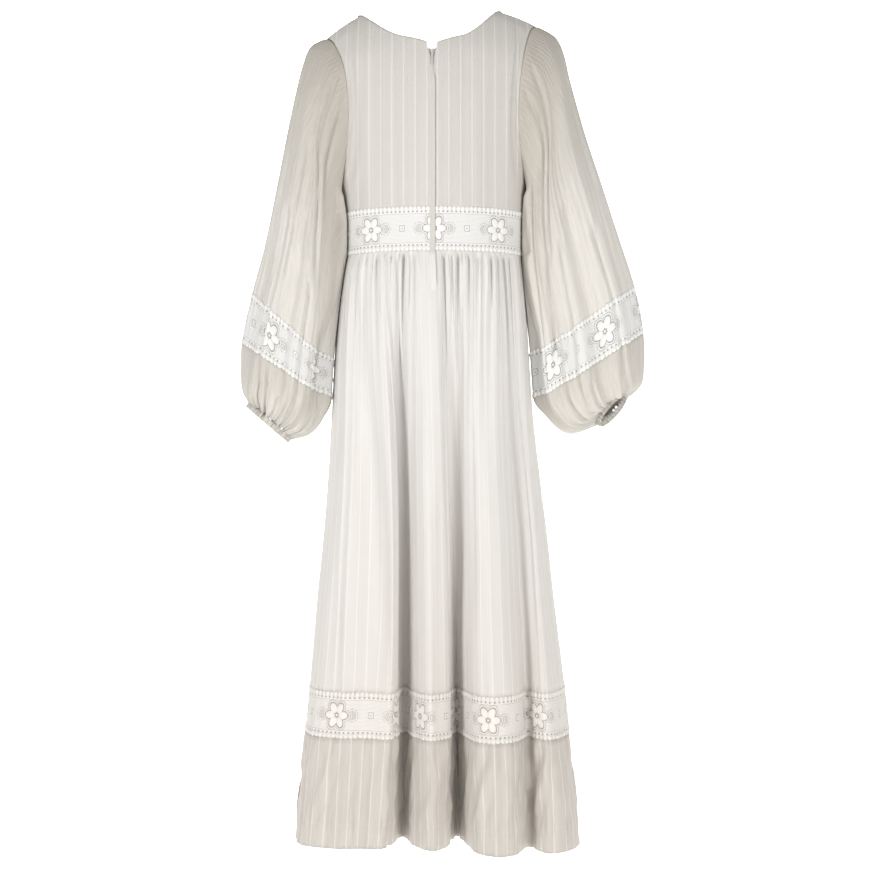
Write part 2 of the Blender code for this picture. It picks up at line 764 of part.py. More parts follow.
def build_skirt():
    """Gathered upper panels, the lace let in above the hem, and the hem flounce."""
    spans = skirt_pieces()
    heights = [LACE_FOOT + d for d in (0, 16, 50, 115, 200, 320, 450, 590)] + [HEM_LACE_TOP]
    fine_rows = 4

    def columns(span, k):
        start, end = span
        ratio = 2 if k < fine_rows else 1
        return spread(start, end, (end - start) * ratio)

    for piece, name in (("left", "skirt_back_left"), ("right", "skirt_back_right"), ("front", "skirt_front")):
        span = spans[piece]
        panel(name, skirt, lambda k, span=span: columns(span, k), heights, lambda v: COTTON, "cotton", -1)
    halves = {"back": (0, spans["right"][1]), "front": spans["front"]}
    for half, (start, end) in halves.items():
        strips = spread(start, end, end - start)
        panel(
            f"hem_lace_{half}",
            skirt,
            lambda k, strips=strips: strips,
            spread(HEM_LACE_TOP, HEM_LACE_FOOT, 1),
            lambda v: LACE,
            "lace",
            -1,
        )
        panel(
            f"hem_flounce_{half}",
            skirt,
            lambda k, strips=strips: strips,
            (HEM_LACE_FOOT, 1300.0, HEM_STITCH, HEM),
            lambda v: HEM_FOLD if v >= HEM_STITCH else COTTON,
            "cotton",
            -1,
        )


def on_bodice(side, face, x, drop):
    """The point of the bodice's surface with this x, measured on its own side, and drop."""
    return bodice_from_chart(side, face, *bodice_chart(side, x, drop))


def build_neck_lace():
    """Narrow edging laid along the front neckline and a little way round to the back."""
    neck = [s for s in BODICE_COLUMNS if s <= NECK_SHARE]
    neck = [s for a, b in zip(neck, neck[1:]) for s in (a, (a + b) / 2)] + [NECK_SHARE]
    half = [(1, s) for s in neck[NECK_LACE_START:]] + [(-1, s) for s in reversed(neck[:-1])]
    stations = [(1, *station) for station in half]
    stations += [(-1, *station) for station in reversed(half[:-1])]
    edge, normals = [], []
    for side, face, s in stations:
        edge.append(bodice_from_chart(side, face, *top_edge(side, face, s)))
        normals.append(bodice_normal(face, side * max(s, 1e-4), 1.0))
    outer, inner = [[], []], [[], []]
    for i, (side, face, s) in enumerate(stations):
        along = edge[min(i + 1, len(edge) - 1)] - edge[max(i - 1, 0)]
        away = along.cross(normals[i]).normalized()
        x, drop = edge[i].x / MM, -edge[i].z / MM
        if away.dot(Vector((x, edge[i].y / MM, -drop - 30))) < 0:
            away = -away
        far = edge[i] + away * NECK_LACE_WIDTH * MM
        far_x = side * far.x / MM
        far_drop = ridge_drop(side, far_x) if s == NECK_SHARE else -far.z / MM
        far_drop = max(far_drop, ridge_drop(side, far_x))
        for row, p in enumerate((edge[i], on_bodice(side, face, far_x, far_drop))):
            outer[row].append(p + normals[i] * (OVERLAY + COTTON))
            inner[row].append(p + normals[i] * OVERLAY)
    wall("neck_lace", outer, inner, "lace")


def behind(offset, drop):
    """The back's outer surface, this far to the left of the zip's line."""
    if drop > LACE_FOOT:
        strip = FOLD_STARTS[BACK_SEAM_ROW]
        middle = skirt(strip, drop)
        for _ in range(8):
            here = skirt(strip, drop)
            strip -= (middle.x + offset * MM - here.x) / MM / 10.0
        return skirt(strip, drop)
    x = spline(ZIP_LINE, max(drop, ZIP_LINE[0][0]))[0] + offset
    if drop > LACE_TOP:
        left, right, back, front = spline(TORSO, drop)
        return place(x, back * math.sqrt(1 - (x / left) ** 2), drop)
    return on_bodice(1 if x >= 0 else -1, 1, abs(x), drop)


def build_zip():
    """Tape behind the panels, the lap in front of them, and the slider with its pull."""
    drops = [98, 120, 155, 200, 245, 290, LACE_TOP, 380, LACE_FOOT, 431, 448, 465, ZIP_FOOT]
    shapes = {
        "zip_tape": (TAPE_TOP, (-TAPE_HALF, 0.0, TAPE_HALF), -(LACE + OVERLAY), "tape"),
        "zip_lap": (LAP_TOP, (LAP[0], 5.7, LAP[1]), OVERLAY + COTTON, "cotton"),
    }
    for name, (top, offsets, lift, finish) in shapes.items():
        outer, inner = [], []
        for drop in [top, *(drop for drop in drops if drop > top + 5)]:
            more = math.copysign(0.7 * MM * ease((drop - LACE_FOOT) / 20), lift)
            face, back = Vector((0, lift + more, 0)), Vector((0, lift + more - COTTON, 0))
            outer.append([behind(offset, drop) + face for offset in offsets])
            inner.append([behind(offset, drop) + back for offset in offsets])
        wall(name, outer, inner, finish)

    origin = behind(0, SLIDER_DROP)
    down = (behind(0, SLIDER_DROP + 2) - behind(0, SLIDER_DROP - 2)).normalized()
    down = Vector((0, down.y, down.z)).normalized()
    lean = math.atan2(down.y, -down.z)
    frame = Matrix.Translation(origin) @ Matrix.Rotation(lean, 4, "X")
    pin = Vector((0, PIN_HEIGHT * MM, 0.5 * MM))
    width, length, depth = SLIDER
    body = block("zip_slider", (width, depth, length), frame, Vector((0, -SLIDER_SINK * MM, 0)), "metal")
    for x in (-1, 1):
        across = x * (PULL[0] / 2 + 0.35 + CHEEK[0] / 2) * MM
        rise = Vector((across, (0.6 + CHEEK[2] / 2) * MM, pin.z))
        join(body, block(f"cheek_{x}", (CHEEK[0], CHEEK[2], CHEEK[1]), frame, rise, None), "UNION")
    join(body, rod("pin", PIN_RADIUS, PULL[0] + 1.5, frame, pin), "UNION")

    hang = frame @ Matrix.Translation(pin) @ Matrix.Rotation(math.radians(-PULL_REST), 4, "X")
    plate = Vector((0, 0, -(PULL[1] / 2 + EYE_RADII[0] + 0.15) * MM))
    pull = block("zip_pull", (PULL[0], PULL[2], PULL[1]), hang, plate, "metal")
    join(pull, rod("eye", EYE_RADII[1], PULL[0], hang, Vector()), "UNION")
    join(pull, rod("eye_hole", EYE_RADII[0], PULL[0] + 2, hang, Vector()), "DIFFERENCE")


def block(name, size, frame, centre, finish):
    """A box in the frame's axes. Without a finish it is a cutter."""
    bm = bmesh.new()
    bmesh.ops.create_cube(bm, size=1.0)
    bmesh.ops.scale(bm, vec=Vector(size) * MM, verts=bm.verts)
    bmesh.ops.transform(bm, matrix=frame @ Matrix.Translation(centre), verts=bm.verts)
    return add_object(name, bm, finish)


def rod(name, radius, length, frame, centre):
    """A round bar along X, used as a cutter."""
    bm = bmesh.new()
    sizes = {"radius1": radius * MM, "radius2": radius * MM, "depth": length * MM}
    bmesh.ops.create_cone(bm, cap_ends=True, segments=14, **sizes)
    turn = Matrix.Rotation(math.pi / 2, 4, "Y")
    bmesh.ops.transform(bm, matrix=frame @ Matrix.Translation(centre) @ turn, verts=bm.verts)
    return add_object(name, bm, None)


def join(obj, other, operation):
    """Adds another shape to a part, or takes it away."""
    boolean = obj.modifiers.new(other.name, "BOOLEAN")
    boolean.operation = operation
    boolean.solver = "EXACT"
    boolean.object = other


def build_sleeve(side, name):
    """Sheer sleeve, its lace band, the puff below it and the elastic casing."""
    strips = sleeve_loop(side)[1]
    lace_top, lace_foot = SLEEVE_LACE[side]
    end = SLEEVE_END[side]
    hole_middle = (ARMHOLES[side][0][2] + ARMHOLES[side][-1][2]) / 2 * MM
    whole = [float(i) for i in range(strips)]
    half = [i / 2 for i in range(2 * strips)]

    def surface(u, v):
        return sleeve(side, u, v)

    def make(part, along, columns, thick, finish):
        outer, inner = [], []
        for k, v in enumerate(along):
            row_out, row_in = [], []
            for u in columns(k):
                n = normal_of(surface, u, max(v, 0.5), 1e-3, 0.2, False) * -side
                p = surface(u, v)
                from_hole = Vector((0, p.y, p.z + hole_middle)).normalized()
                from_hole.x = 1.5 * side * min(from_hole.z, 0.0)
                n = from_hole.normalized().lerp(n, ease(v / 60)).normalized()
                if k == 0 and v > 0 or k == len(along) - 1:
                    toward = along[1] if k == 0 else along[-2]
                    p = p + (surface(u, toward) - p).normalized() * SEAM / 2
                row_out.append(p)
                row_in.append(p - n * thick)
            outer.append(row_out)
            inner.append(row_in)
        wall(f"{part}_{name}", outer, inner, finish, closed=True)

    upper = (0.0, 22.0, 60.0, 115.0, 185.0, 265.0, 345.0, 415.0, lace_top)
    make("sleeve", upper, lambda k: whole, SHEER, "sheer")
    make("sleeve_lace", (lace_top, lace_foot), lambda k: whole, LACE, "lace")
    puff = (lace_foot, lace_foot + 38, end - 42, end - 20, end)
    make("sleeve_puff", puff, lambda k: half if k > 2 else whole, SHEER, "sheer")
    make("cuff", (end, end + CUFF_LENGTH), lambda k: half, LACE, "sheer")


def build_all():
    for obj in list(bpy.data.objects):
        bpy.data.objects.remove(obj, do_unlink=True)
    for name in ("lace_dress", "cutters"):
        bpy.context.scene.collection.children.link(bpy.data.collections.new(name))
    build_bodice()
    build_neck_lace()
    build_waist_lace()
    build_skirt()
    build_sleeve(1, "left")
    build_sleeve(-1, "right")
    build_zip()


build_all()
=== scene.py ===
# %% [markdown]
# # A long lace dress, hollow as if worn
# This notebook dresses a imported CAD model. The model gives every panel its true place, and here
# each panel becomes thin cloth with its gathers, lace and stitching. Units are metres. The back
# of the dress, with the zip, faces +Y, and +X is the wearer's left.

# %% Load the frame
import math

import bmesh
import bpy
import numpy as np
from mathutils import Matrix, Vector


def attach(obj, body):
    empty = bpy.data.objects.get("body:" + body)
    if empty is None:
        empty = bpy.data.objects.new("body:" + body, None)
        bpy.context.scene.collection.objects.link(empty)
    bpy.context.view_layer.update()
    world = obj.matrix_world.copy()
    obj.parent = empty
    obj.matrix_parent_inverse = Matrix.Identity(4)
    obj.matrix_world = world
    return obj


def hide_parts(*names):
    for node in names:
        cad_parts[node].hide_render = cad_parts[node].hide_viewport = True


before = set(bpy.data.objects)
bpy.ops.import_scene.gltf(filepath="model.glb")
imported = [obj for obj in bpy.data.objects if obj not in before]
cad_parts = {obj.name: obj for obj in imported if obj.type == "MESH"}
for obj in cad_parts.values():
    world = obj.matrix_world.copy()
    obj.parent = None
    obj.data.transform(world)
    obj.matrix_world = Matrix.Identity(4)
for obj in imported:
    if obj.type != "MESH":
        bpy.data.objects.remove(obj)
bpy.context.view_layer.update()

MM = 0.001
BODY = "dress"

# %% [markdown]
# ## The measures of the dress
# A dressmaker starts from a chart of sizes. These tables are the ones that the solids were made
# from, in millimetres, where "drop" is the distance below the tops of the shoulders. Using the
# same numbers keeps the cloth exactly on the solid that it replaces.

# %% Heights, torso and shoulders
LACE_TOP, LACE_FOOT = 344.0, 415.0
HEM_LACE_TOP, HEM_LACE_FOOT = 1150.0, 1223.5
HEM_STITCH, HEM = 1366.0, 1406.0
OVERLAY, COTTON = 0.5, 1.2

TORSO = (
    # drop, left half width, right half width, depth behind, depth in front
    (0, 205, 203, 80, 80),
    (40, 200, 198, 84, 88),
    (100, 188, 186, 97, 104),
    (160, 178, 175, 103, 121),
    (230, 167, 164, 104, 134),
    (294, 161, 158, 103, 131),
    (344, 152, 152, 101, 116),
    (415, 149, 149, 100, 106),
)
SHOULDERS = {
    # side: neck x, neck drop, tip x, tip drop
    1: (126, 2, 185, 40),
    -1: (108, -5, 173, 19),
}
CLOSING_HEIGHT = 100.0
CLOSING_ARC = 150.0
UNDERARM_SHARE = 0.18
NECK_SHARE = 0.6
ARMHOLES = {
    1: (
        # share up the edge, back x, back drop, front x, front drop
        (0.0, 161, 294, 161, 294),
        (0.14, 154, 273, 152, 273),
        (0.30, 147, 228, 143, 230),
        (0.48, 145, 168, 138, 170),
        (0.68, 152, 104, 146, 104),
        (0.86, 170, 57, 168, 57),
        (1.0, 185, 40, 185, 40),
    ),
    -1: (
        (0.0, 158, 294, 158, 294),
        (0.14, 151, 273, 149, 273),
        (0.30, 144, 226, 140, 228),
        (0.48, 142, 160, 136, 162),
        (0.68, 149, 88, 144, 88),
        (0.86, 161, 38, 159, 38),
        (1.0, 173, 19, 173, 19),
    ),
}
BACK_NECK = (
    # share along the neckline, x share, drop
    (0.0, 0.07, 69),
    (0.18, 0.30, 62),
    (0.42, 0.60, 46),
    (0.73, 0.87, 19),
    (1.0, 1.0, 2),
)
FRONT_NECK = (
    (0.0, 0.0, 150),
    (0.17, 0.33, 143),
    (0.38, 0.66, 112),
    (0.66, 0.92, 52),
    (1.0, 1.0, 2),
)
ZIP_LINE = (
    # drop, x of the line, half the gap between the two sides
    (66, 4.0, 8.6),
    (76, 4.2, 6.8),
    (88, 4.2, 4.0),
    (99, 3.2, 0.3),
    (125, 0.8, 0.3),
    (155, 0.0, 0.3),
    (415, 0.0, 0.3),
)
print("bodice tables:", len(TORSO), "torso rows,", len(ZIP_LINE), "rows down the zip")

# %% Skirt and sleeves
SKIRT_WIDTHS = (
    # drop, left half width, right half width
    (415, 149, 149),
    (440, 154, 151),
    (500, 163, 156),
    (600, 172, 163),
    (700, 177, 170),
    (800, 183, 181),
    (900, 191, 193),
    (1000, 201, 203),
    (1100, 209, 215),
    (1200, 218, 226),
    (1300, 228, 236),
    (1406, 236, 244),
)
SKIRT_MID = 870.0
SKIRT_FOLDS = (
    # waist angle, mid share, mid y, hem share, hem y, cloth strips to the next line
    (90, 1.00, 4, 1.00, 26, 2),
    (77, 0.93, 50, 0.955, 78, 4),
    (58, 0.76, 84, 0.72, 111, 3),
    (46, 0.55, 88, 0.52, 109, 2),
    (37, 0.385, 110, 0.38, 110, 3),
    (29, 0.315, 94, 0.305, 84, 2),
    (23, 0.26, 62, 0.23, 30, 3),
    (16, 0.185, 94, 0.145, 88, 2),
    (8, 0.06, 121, 0.02, 124, 2),
    (0, -0.085, 110, -0.085, 96, 4),
    (-9, -0.17, 70, -0.158, 26, 3),
    (-18, -0.26, 98, -0.224, 84, 3),
    (-27, -0.36, 121, -0.30, 142, 2),
    (-36, -0.49, 125, -0.43, 160, 2),
    (-44, -0.63, 106, -0.55, 144, 3),
    (-53, -0.745, 74, -0.635, 98, 3),
    (-64, -0.86, 80, -0.77, 138, 2),
    (-77, -0.95, 58, -0.93, 114, 3),
    (-90, -1.00, 8, -1.00, 52, 3),
    (-107, -0.95, -48, -0.93, -26, 3),
    (-122, -0.78, -82, -0.75, -98, 3),
    (-134, -0.62, -74, -0.60, -66, 3),
    (-146, -0.46, -106, -0.44, -124, 3),
    (-158, -0.31, -84, -0.29, -58, 3),
    (-170, -0.15, -120, -0.15, -134, 3),
    (-181, 0.00, -94, 0.00, -62, 3),
    (-192, 0.16, -120, 0.15, -132, 3),
    (-204, 0.32, -84, 0.30, -56, 3),
    (-216, 0.47, -106, 0.45, -122, 3),
    (-228, 0.63, -74, 0.61, -64, 3),
    (-240, 0.79, -80, 0.77, -94, 3),
    (-254, 0.95, -46, 0.95, -40, 3),
)
SLEEVES = {
    1: (
        # along, outer x, outer drop, inner x, inner drop, half depth, centre y
        (0, 185, 40, 162, 295, 60, 0),
        (36, 213, 56, 159, 320, 62, 1),
        (67, 225, 84, 156, 348, 63, 2),
        (112, 236, 126, 154, 390, 64, 4),
        (191, 252, 203, 158, 440, 65, 6),
        (288, 271, 300, 167, 500, 66, 8),
        (392, 292, 403, 172, 552, 66, 10),
        (471, 312, 480, 177, 598, 68, 11),
        (552, 329, 564, 181, 660, 72, 12),
        (604, 330, 614, 194, 698, 66, 12),
        (642, 326, 648, 219, 720, 48, 11),
        (664, 316, 667, 246, 727, 28, 10),
    ),
    -1: (
        (0, 173, 19, 159, 295, 60, 0),
        (44, 208, 40, 157, 320, 62, 1),
        (75, 222, 68, 155, 348, 63, 2),
        (121, 233, 114, 153, 390, 64, 4),
        (209, 256, 199, 155, 437, 66, 7),
        (307, 286, 290, 160, 487, 67, 9),
        (406, 316, 385, 166, 537, 68, 11),
        (493, 342, 468, 171, 584, 70, 12),
        (574, 357, 547, 178, 659, 74, 13),
        (625, 358, 600, 194, 693, 68, 13),
        (670, 350, 640, 234, 718, 48, 13),
        (697, 322, 650, 277, 700, 27, 14),
    ),
}
SLEEVE_LACE = {1: (471.0, 552.0), -1: (493.0, 574.0)}
SLEEVE_END = {1: 664.0, -1: 697.0}
CUFF_TILT = {1: 2.0, -1: 11.0}
STRIPS_BEHIND, STRIPS_BEFORE = 20, 18
SLEEVE_FOLDS = {
    1: (
        # angle high up, angle at the lace, depth at mid sleeve, at the lace, strips
        (0, 0, 0, 0, 4),
        (38, 42, 5, 14, 3),
        (58, 63, -2, -4, 2),
        (76, 80, 4, 13, 4),
        (104, 114, -3, -5, 4),
        (128, 150, 13, 26, 3),
        (180, 180, 0, 0, 4),
        (222, 222, 7, 12, 3),
        (246, 246, -2, -4, 3),
        (275, 275, 6, 12, 3),
        (305, 305, -3, -4, 2),
        (330, 330, 5, 9, 3),
    ),
    -1: (
        (0, 0, 0, 0, 3),
        (36, 38, 6, 15, 2),
        (56, 58, -2, -4, 3),
        (80, 84, 4, 10, 3),
        (100, 106, -3, -5, 3),
        (122, 132, 9, 17, 2),
        (138, 147, -1, -2, 2),
        (152, 161, 10, 14, 2),
        (180, 180, 0, 0, 4),
        (220, 220, 7, 12, 3),
        (248, 248, -2, -4, 3),
        (276, 276, 6, 12, 4),
        (322, 322, 5, 9, 4),
    ),
}
print("skirt fold lines:", len(SKIRT_FOLDS))

# %% [markdown]
# ## Reading a table as a smooth curve
# Each table gives a few rows. A smooth cubic curve through them gives every value between, for
# a whole grid of points at once. A table can also close on itself, like the folds round a skirt.

# %% Curves and easing
def curve(rows, at, lap=None, grow=()):
    """The other columns of a table at an array of values of its first column."""
    table = np.array(rows, float)
    if lap:
        step = np.array([lap, *grow], float)
        table = np.vstack([table - step, table, table + step])
    knots, values = table[:, 0], table[:, 1:]
    before = np.maximum(np.arange(len(knots)) - 1, 0)
    after = np.minimum(np.arange(len(knots)) + 1, len(knots) - 1)
    slopes = (values[after] - values[before]) / (knots[after] - knots[before])[:, None]
    at = np.asarray(at, float)
    i = np.clip(np.searchsorted(knots, at, "right") - 1, 0, len(knots) - 2)
    span = knots[i + 1] - knots[i]
    f = np.clip((at - knots[i]) / span, 0, 1)[..., None]
    span = span[..., None]
    found = (2 * f**3 - 3 * f**2 + 1) * values[i] + (3 * f**2 - 2 * f**3) * values[i + 1]
    found += (f**3 - 2 * f**2 + f) * span * slopes[i] + (f**3 - f**2) * span * slopes[i + 1]
    return np.moveaxis(found, -1, 0)


def ease(f):
    f = np.clip(f, 0, 1)
    return f * f * (3 - 2 * f)


def lerp(a, b, f):
    return a + (b - a) * f


def point(x, y, drop):
    """Points in metres from millimetres across, deep and down."""
    x, y, drop = np.broadcast_arrays(x, y, drop)
    return np.stack([x, y, -drop], axis=-1) * MM


print("half way down the skirt it is", curve(SKIRT_WIDTHS, 900.0).sum(), "mm wide")

# %% [markdown]
# ## The shape of each panel
# Every panel is a function from two cloth directions, across and down, to a point. These are the
# formulas of the solids, so that a fold drawn here continues the fold of the solid under it.

# %% Bodice
def torso(degrees, drop):
    """The band under the bust, by the angle from the centre back."""
    left, right, back, front = curve(TORSO, drop)
    sine, cosine = np.sin(np.radians(degrees)), np.cos(np.radians(degrees))
    return point(np.where(sine >= 0, left, right) * sine, np.where(cosine >= 0, back, front) * cosine, drop)


def ridge_drop(side, x):
    """How far down the line of the shoulder is at x."""
    neck_x, neck_drop, tip_x, tip_drop = SHOULDERS[side]
    return neck_drop + (tip_drop - neck_drop) / (tip_x**2 - neck_x**2) * (x**2 - neck_x**2)


def chart(side, x, drop):
    """The bodice's own measures of a place: its angle, and its arc below the shoulder."""
    widths = curve(TORSO, drop)[0 if side > 0 else 1]
    height = np.maximum(drop - ridge_drop(side, x), 0)
    low = np.clip(1 - height / CLOSING_HEIGHT, -1, 1)
    arc = np.where(
        height < CLOSING_HEIGHT,
        CLOSING_ARC * np.arccos(low) / (np.pi / 2),
        CLOSING_ARC + height - CLOSING_HEIGHT,
    )
    return np.arcsin(np.clip(x / widths, -1, 1)), arc


def from_chart(side, face, angle, arc):
    """The point at a place of the chart. The drop depends on x, so six rounds bring x close."""
    turn = np.minimum(arc / CLOSING_ARC, 1) * np.pi / 2
    height = CLOSING_HEIGHT * (1 - np.cos(turn)) + np.maximum(arc - CLOSING_ARC, 0)
    x = 150.0 * np.sin(angle)
    for _ in range(6):
        drop = ridge_drop(side, np.abs(x)) + height
        left, right, back, front = curve(TORSO, drop)
        x = (left if side > 0 else right) * np.sin(angle)
    depth = (back if face > 0 else front) * np.cos(angle) * np.sin(turn)
    return point(side * x, face * depth, drop)


def centre_x(side, face, drop):
    """The inner edge of each half: the middle in front, and beside the zip behind."""
    if face < 0:
        return 0.0 * drop
    line, gap = curve(ZIP_LINE, np.maximum(drop, ZIP_LINE[0][0]))
    return side * line + gap


def top_edge(side, face, s):
    """The neckline and then the shoulder seam."""
    neck_x, neck_drop, tip_x, _ = SHOULDERS[side]
    share = np.minimum(s / NECK_SHARE, 1)
    x_share, drop = curve(FRONT_NECK if face < 0 else BACK_NECK, share)
    drop = drop + (neck_drop - FRONT_NECK[-1][2]) * ease(share)
    x = x_share * neck_x
    if face > 0:
        x = lerp(centre_x(side, face, drop), x, np.minimum(share / 0.3, 1))
    seam_x = lerp(neck_x, tip_x, (s - NECK_SHARE) / (1 - NECK_SHARE))
    on_neck = s < NECK_SHARE
    x = np.where(on_neck, x, seam_x)
    return chart(side, x, np.where(on_neck, drop, ridge_drop(side, seam_x)))


def side_edge(side, face, t):
    """The side seam and then the armhole."""
    drop = lerp(LACE_TOP, ARMHOLES[side][0][2], np.minimum(t / UNDERARM_SHARE, 1))
    low = chart(side, curve(TORSO, drop)[0 if side > 0 else 1], drop)
    share = np.clip((t - UNDERARM_SHARE) / (1 - UNDERARM_SHARE), 0, 1)
    back_x, back_drop, front_x, front_drop = curve(ARMHOLES[side], share)
    high = chart(side, *((back_x, back_drop) if face > 0 else (front_x, front_drop)))
    return [np.where(t < UNDERARM_SHARE, a, b) for a, b in zip(low, high)]


def half_bodice(side, face, s, t):
    """One side of the bodice: s runs out from the centre and t up from the waist lace."""
    nape = (FRONT_NECK if face < 0 else BACK_NECK)[0][2]
    s, t = np.broadcast_arrays(np.asarray(s, float), np.asarray(t, float))
    one, zero = np.ones_like(s), np.zeros_like(s)

    def centre(height):
        drop = lerp(LACE_TOP, nape, height)
        return chart(side, centre_x(side, face, drop), drop)

    def foot(across):
        angle = lerp(centre(zero)[0], np.pi / 2, across)
        width = curve(TORSO, zero + LACE_TOP)[0 if side > 0 else 1]
        return angle, chart(side, width * np.sin(angle), zero + LACE_TOP)[1]

    def plain_top(across):
        start, end = centre(one), top_edge(side, face, one)
        outward = 3.2 * (across * (1 - across)) ** 2
        return lerp(start[0], end[0], across) + outward, start[1] * (1 - across) ** 1.2

    found = []
    for i, power in ((0, 8), (1, 3)):
        value = lerp(foot(s)[i], plain_top(s)[i], t)
        value = value + (top_edge(side, face, s)[i] - plain_top(s)[i]) * t**power
        value = value + (centre(t)[i] - lerp(foot(zero)[i], plain_top(zero)[i], t)) * (1 - s)
        straight = lerp(foot(one)[i], plain_top(one)[i], t)
        value = value + (side_edge(side, face, t)[i] - straight) * s**2.2
        found.append(value)
    return from_chart(side, face, found[0], np.maximum(found[1], 0))


def bodice(face, s, t):
    """The whole back or front, with s from -1 on the right to 1 on the left."""
    left = half_bodice(1, face, np.abs(s), t)
    right = half_bodice(-1, face, np.abs(s), t)
    return np.where((s > 0)[..., None], left, right)


print("nape at", np.round(half_bodice(1, 1, 0.0, 1.0), 4))

# %% Skirt
FOLD_STARTS = [sum(row[5] for row in SKIRT_FOLDS[:i]) for i in range(len(SKIRT_FOLDS) + 1)]
SKIRT_STRIPS = FOLD_STARTS[-1]
SKIRT_KNOTS = [(start, *row[:5]) for start, row in zip(FOLD_STARTS, SKIRT_FOLDS)]
CENTRE_BACK = FOLD_STARTS[9]
RIGHT_SIDE = FOLD_STARTS[18]
GATHER_REACH, GATHER_SWELL = 250.0, 4.2


def even_gathers(strip, below):
    """The regular gathers of the solid, by cloth strip and the distance below the waist seam."""
    reach = ease(below / 26) * (1 - ease((below - 40) / GATHER_REACH))
    evenness = 0.78 + 0.22 * np.sin(1.7 * strip + 0.6)
    near_zip = 1 - 0.95 * np.exp(-(((strip - CENTRE_BACK) / 3.0) ** 2))
    return GATHER_SWELL * reach * evenness * near_zip * np.cos(np.pi * strip)


def skirt(strip, drop):
    """The skirt, by cloth strips round from the left side and the drop."""
    columns = curve(SKIRT_KNOTS, strip, SKIRT_STRIPS, (-360, 0, 0, 0, 0))
    waist_angle, mid_share, mid_y, hem_share, hem_y = columns
    angle = np.radians(waist_angle)
    seam = torso(waist_angle, np.full_like(angle, LACE_FOOT)) / MM
    left, right = curve(SKIRT_WIDTHS, drop)
    f = (drop - LACE_FOOT) / (HEM - LACE_FOOT)
    mid = (SKIRT_MID - LACE_FOOT) / (HEM - LACE_FOOT)
    at_waist = (f - mid) * (f - 1) / mid
    at_mid = f * (1 - f) / (mid * (1 - mid))
    at_hem = f * (f - mid) / (1 - mid)
    share = at_waist * np.sin(angle) + at_mid * mid_share + at_hem * hem_share
    x = share * np.where(share >= 0, left, right)
    y = at_waist * seam[..., 1] + at_mid * mid_y + at_hem * hem_y
    below = drop - LACE_FOOT
    swell = 7.0 * (1 - np.exp(-below / 28)) * (1 - ease(below / 420))
    out = swell * np.abs(np.cos(angle)) + even_gathers(strip, below)
    return point(x + out * np.sin(angle) * np.abs(np.sin(angle)) * 0.4, y + out * np.cos(angle), drop)


print("cloth strips round the skirt:", SKIRT_STRIPS)

# %% Sleeves
ARMHOLE_SEAM, SLEEVE_CLEAR = 0.7, 2.2
CUFF_GATHER_REACH, CUFF_GATHER_SWELL, CASING_SWELL = 62.0, 2.4, 1.1
ARMHOLE_BLEND, SETTLE = 110.0, 200.0


def armhole(side, strip):
    """Where on the armhole each strip of the sleeve is sewn."""
    strips = STRIPS_BEHIND + STRIPS_BEFORE
    wrapped = np.mod(strip, strips)
    on_back = wrapped <= STRIPS_BEHIND
    share = np.where(on_back, wrapped / STRIPS_BEHIND, (strips - wrapped) / STRIPS_BEFORE)
    row = lerp(1.0, UNDERARM_SHARE, share**1.2)
    back_edge = from_chart(side, 1, *side_edge(side, 1, row))
    front_edge = from_chart(side, -1, *side_edge(side, -1, row))
    return np.where(on_back[..., None], back_edge, front_edge)


def body_side(side, y, drop):
    """How far out the dress itself reaches at this depth and drop."""
    left, right, back, front = curve(TORSO, drop)
    skirt_left, skirt_right = curve(SKIRT_WIDTHS, drop)
    high = drop < LACE_FOOT
    depth = np.where(high, np.where(y > 0, back, front), 130.0)
    more = np.where(high, 0.0, 2.5 * ease((drop - LACE_FOOT) / 20))
    width = np.where(high, left if side > 0 else right, skirt_left if side > 0 else skirt_right)
    return width * np.sqrt(np.maximum(1 - (y / depth) ** 2, 0)) + more


def sleeve_knots(side):
    strips = np.cumsum([0] + [row[4] for row in SLEEVE_FOLDS[side]])
    return [(start, *row[:4]) for start, row in zip(strips, SLEEVE_FOLDS[side])], int(strips[-1])


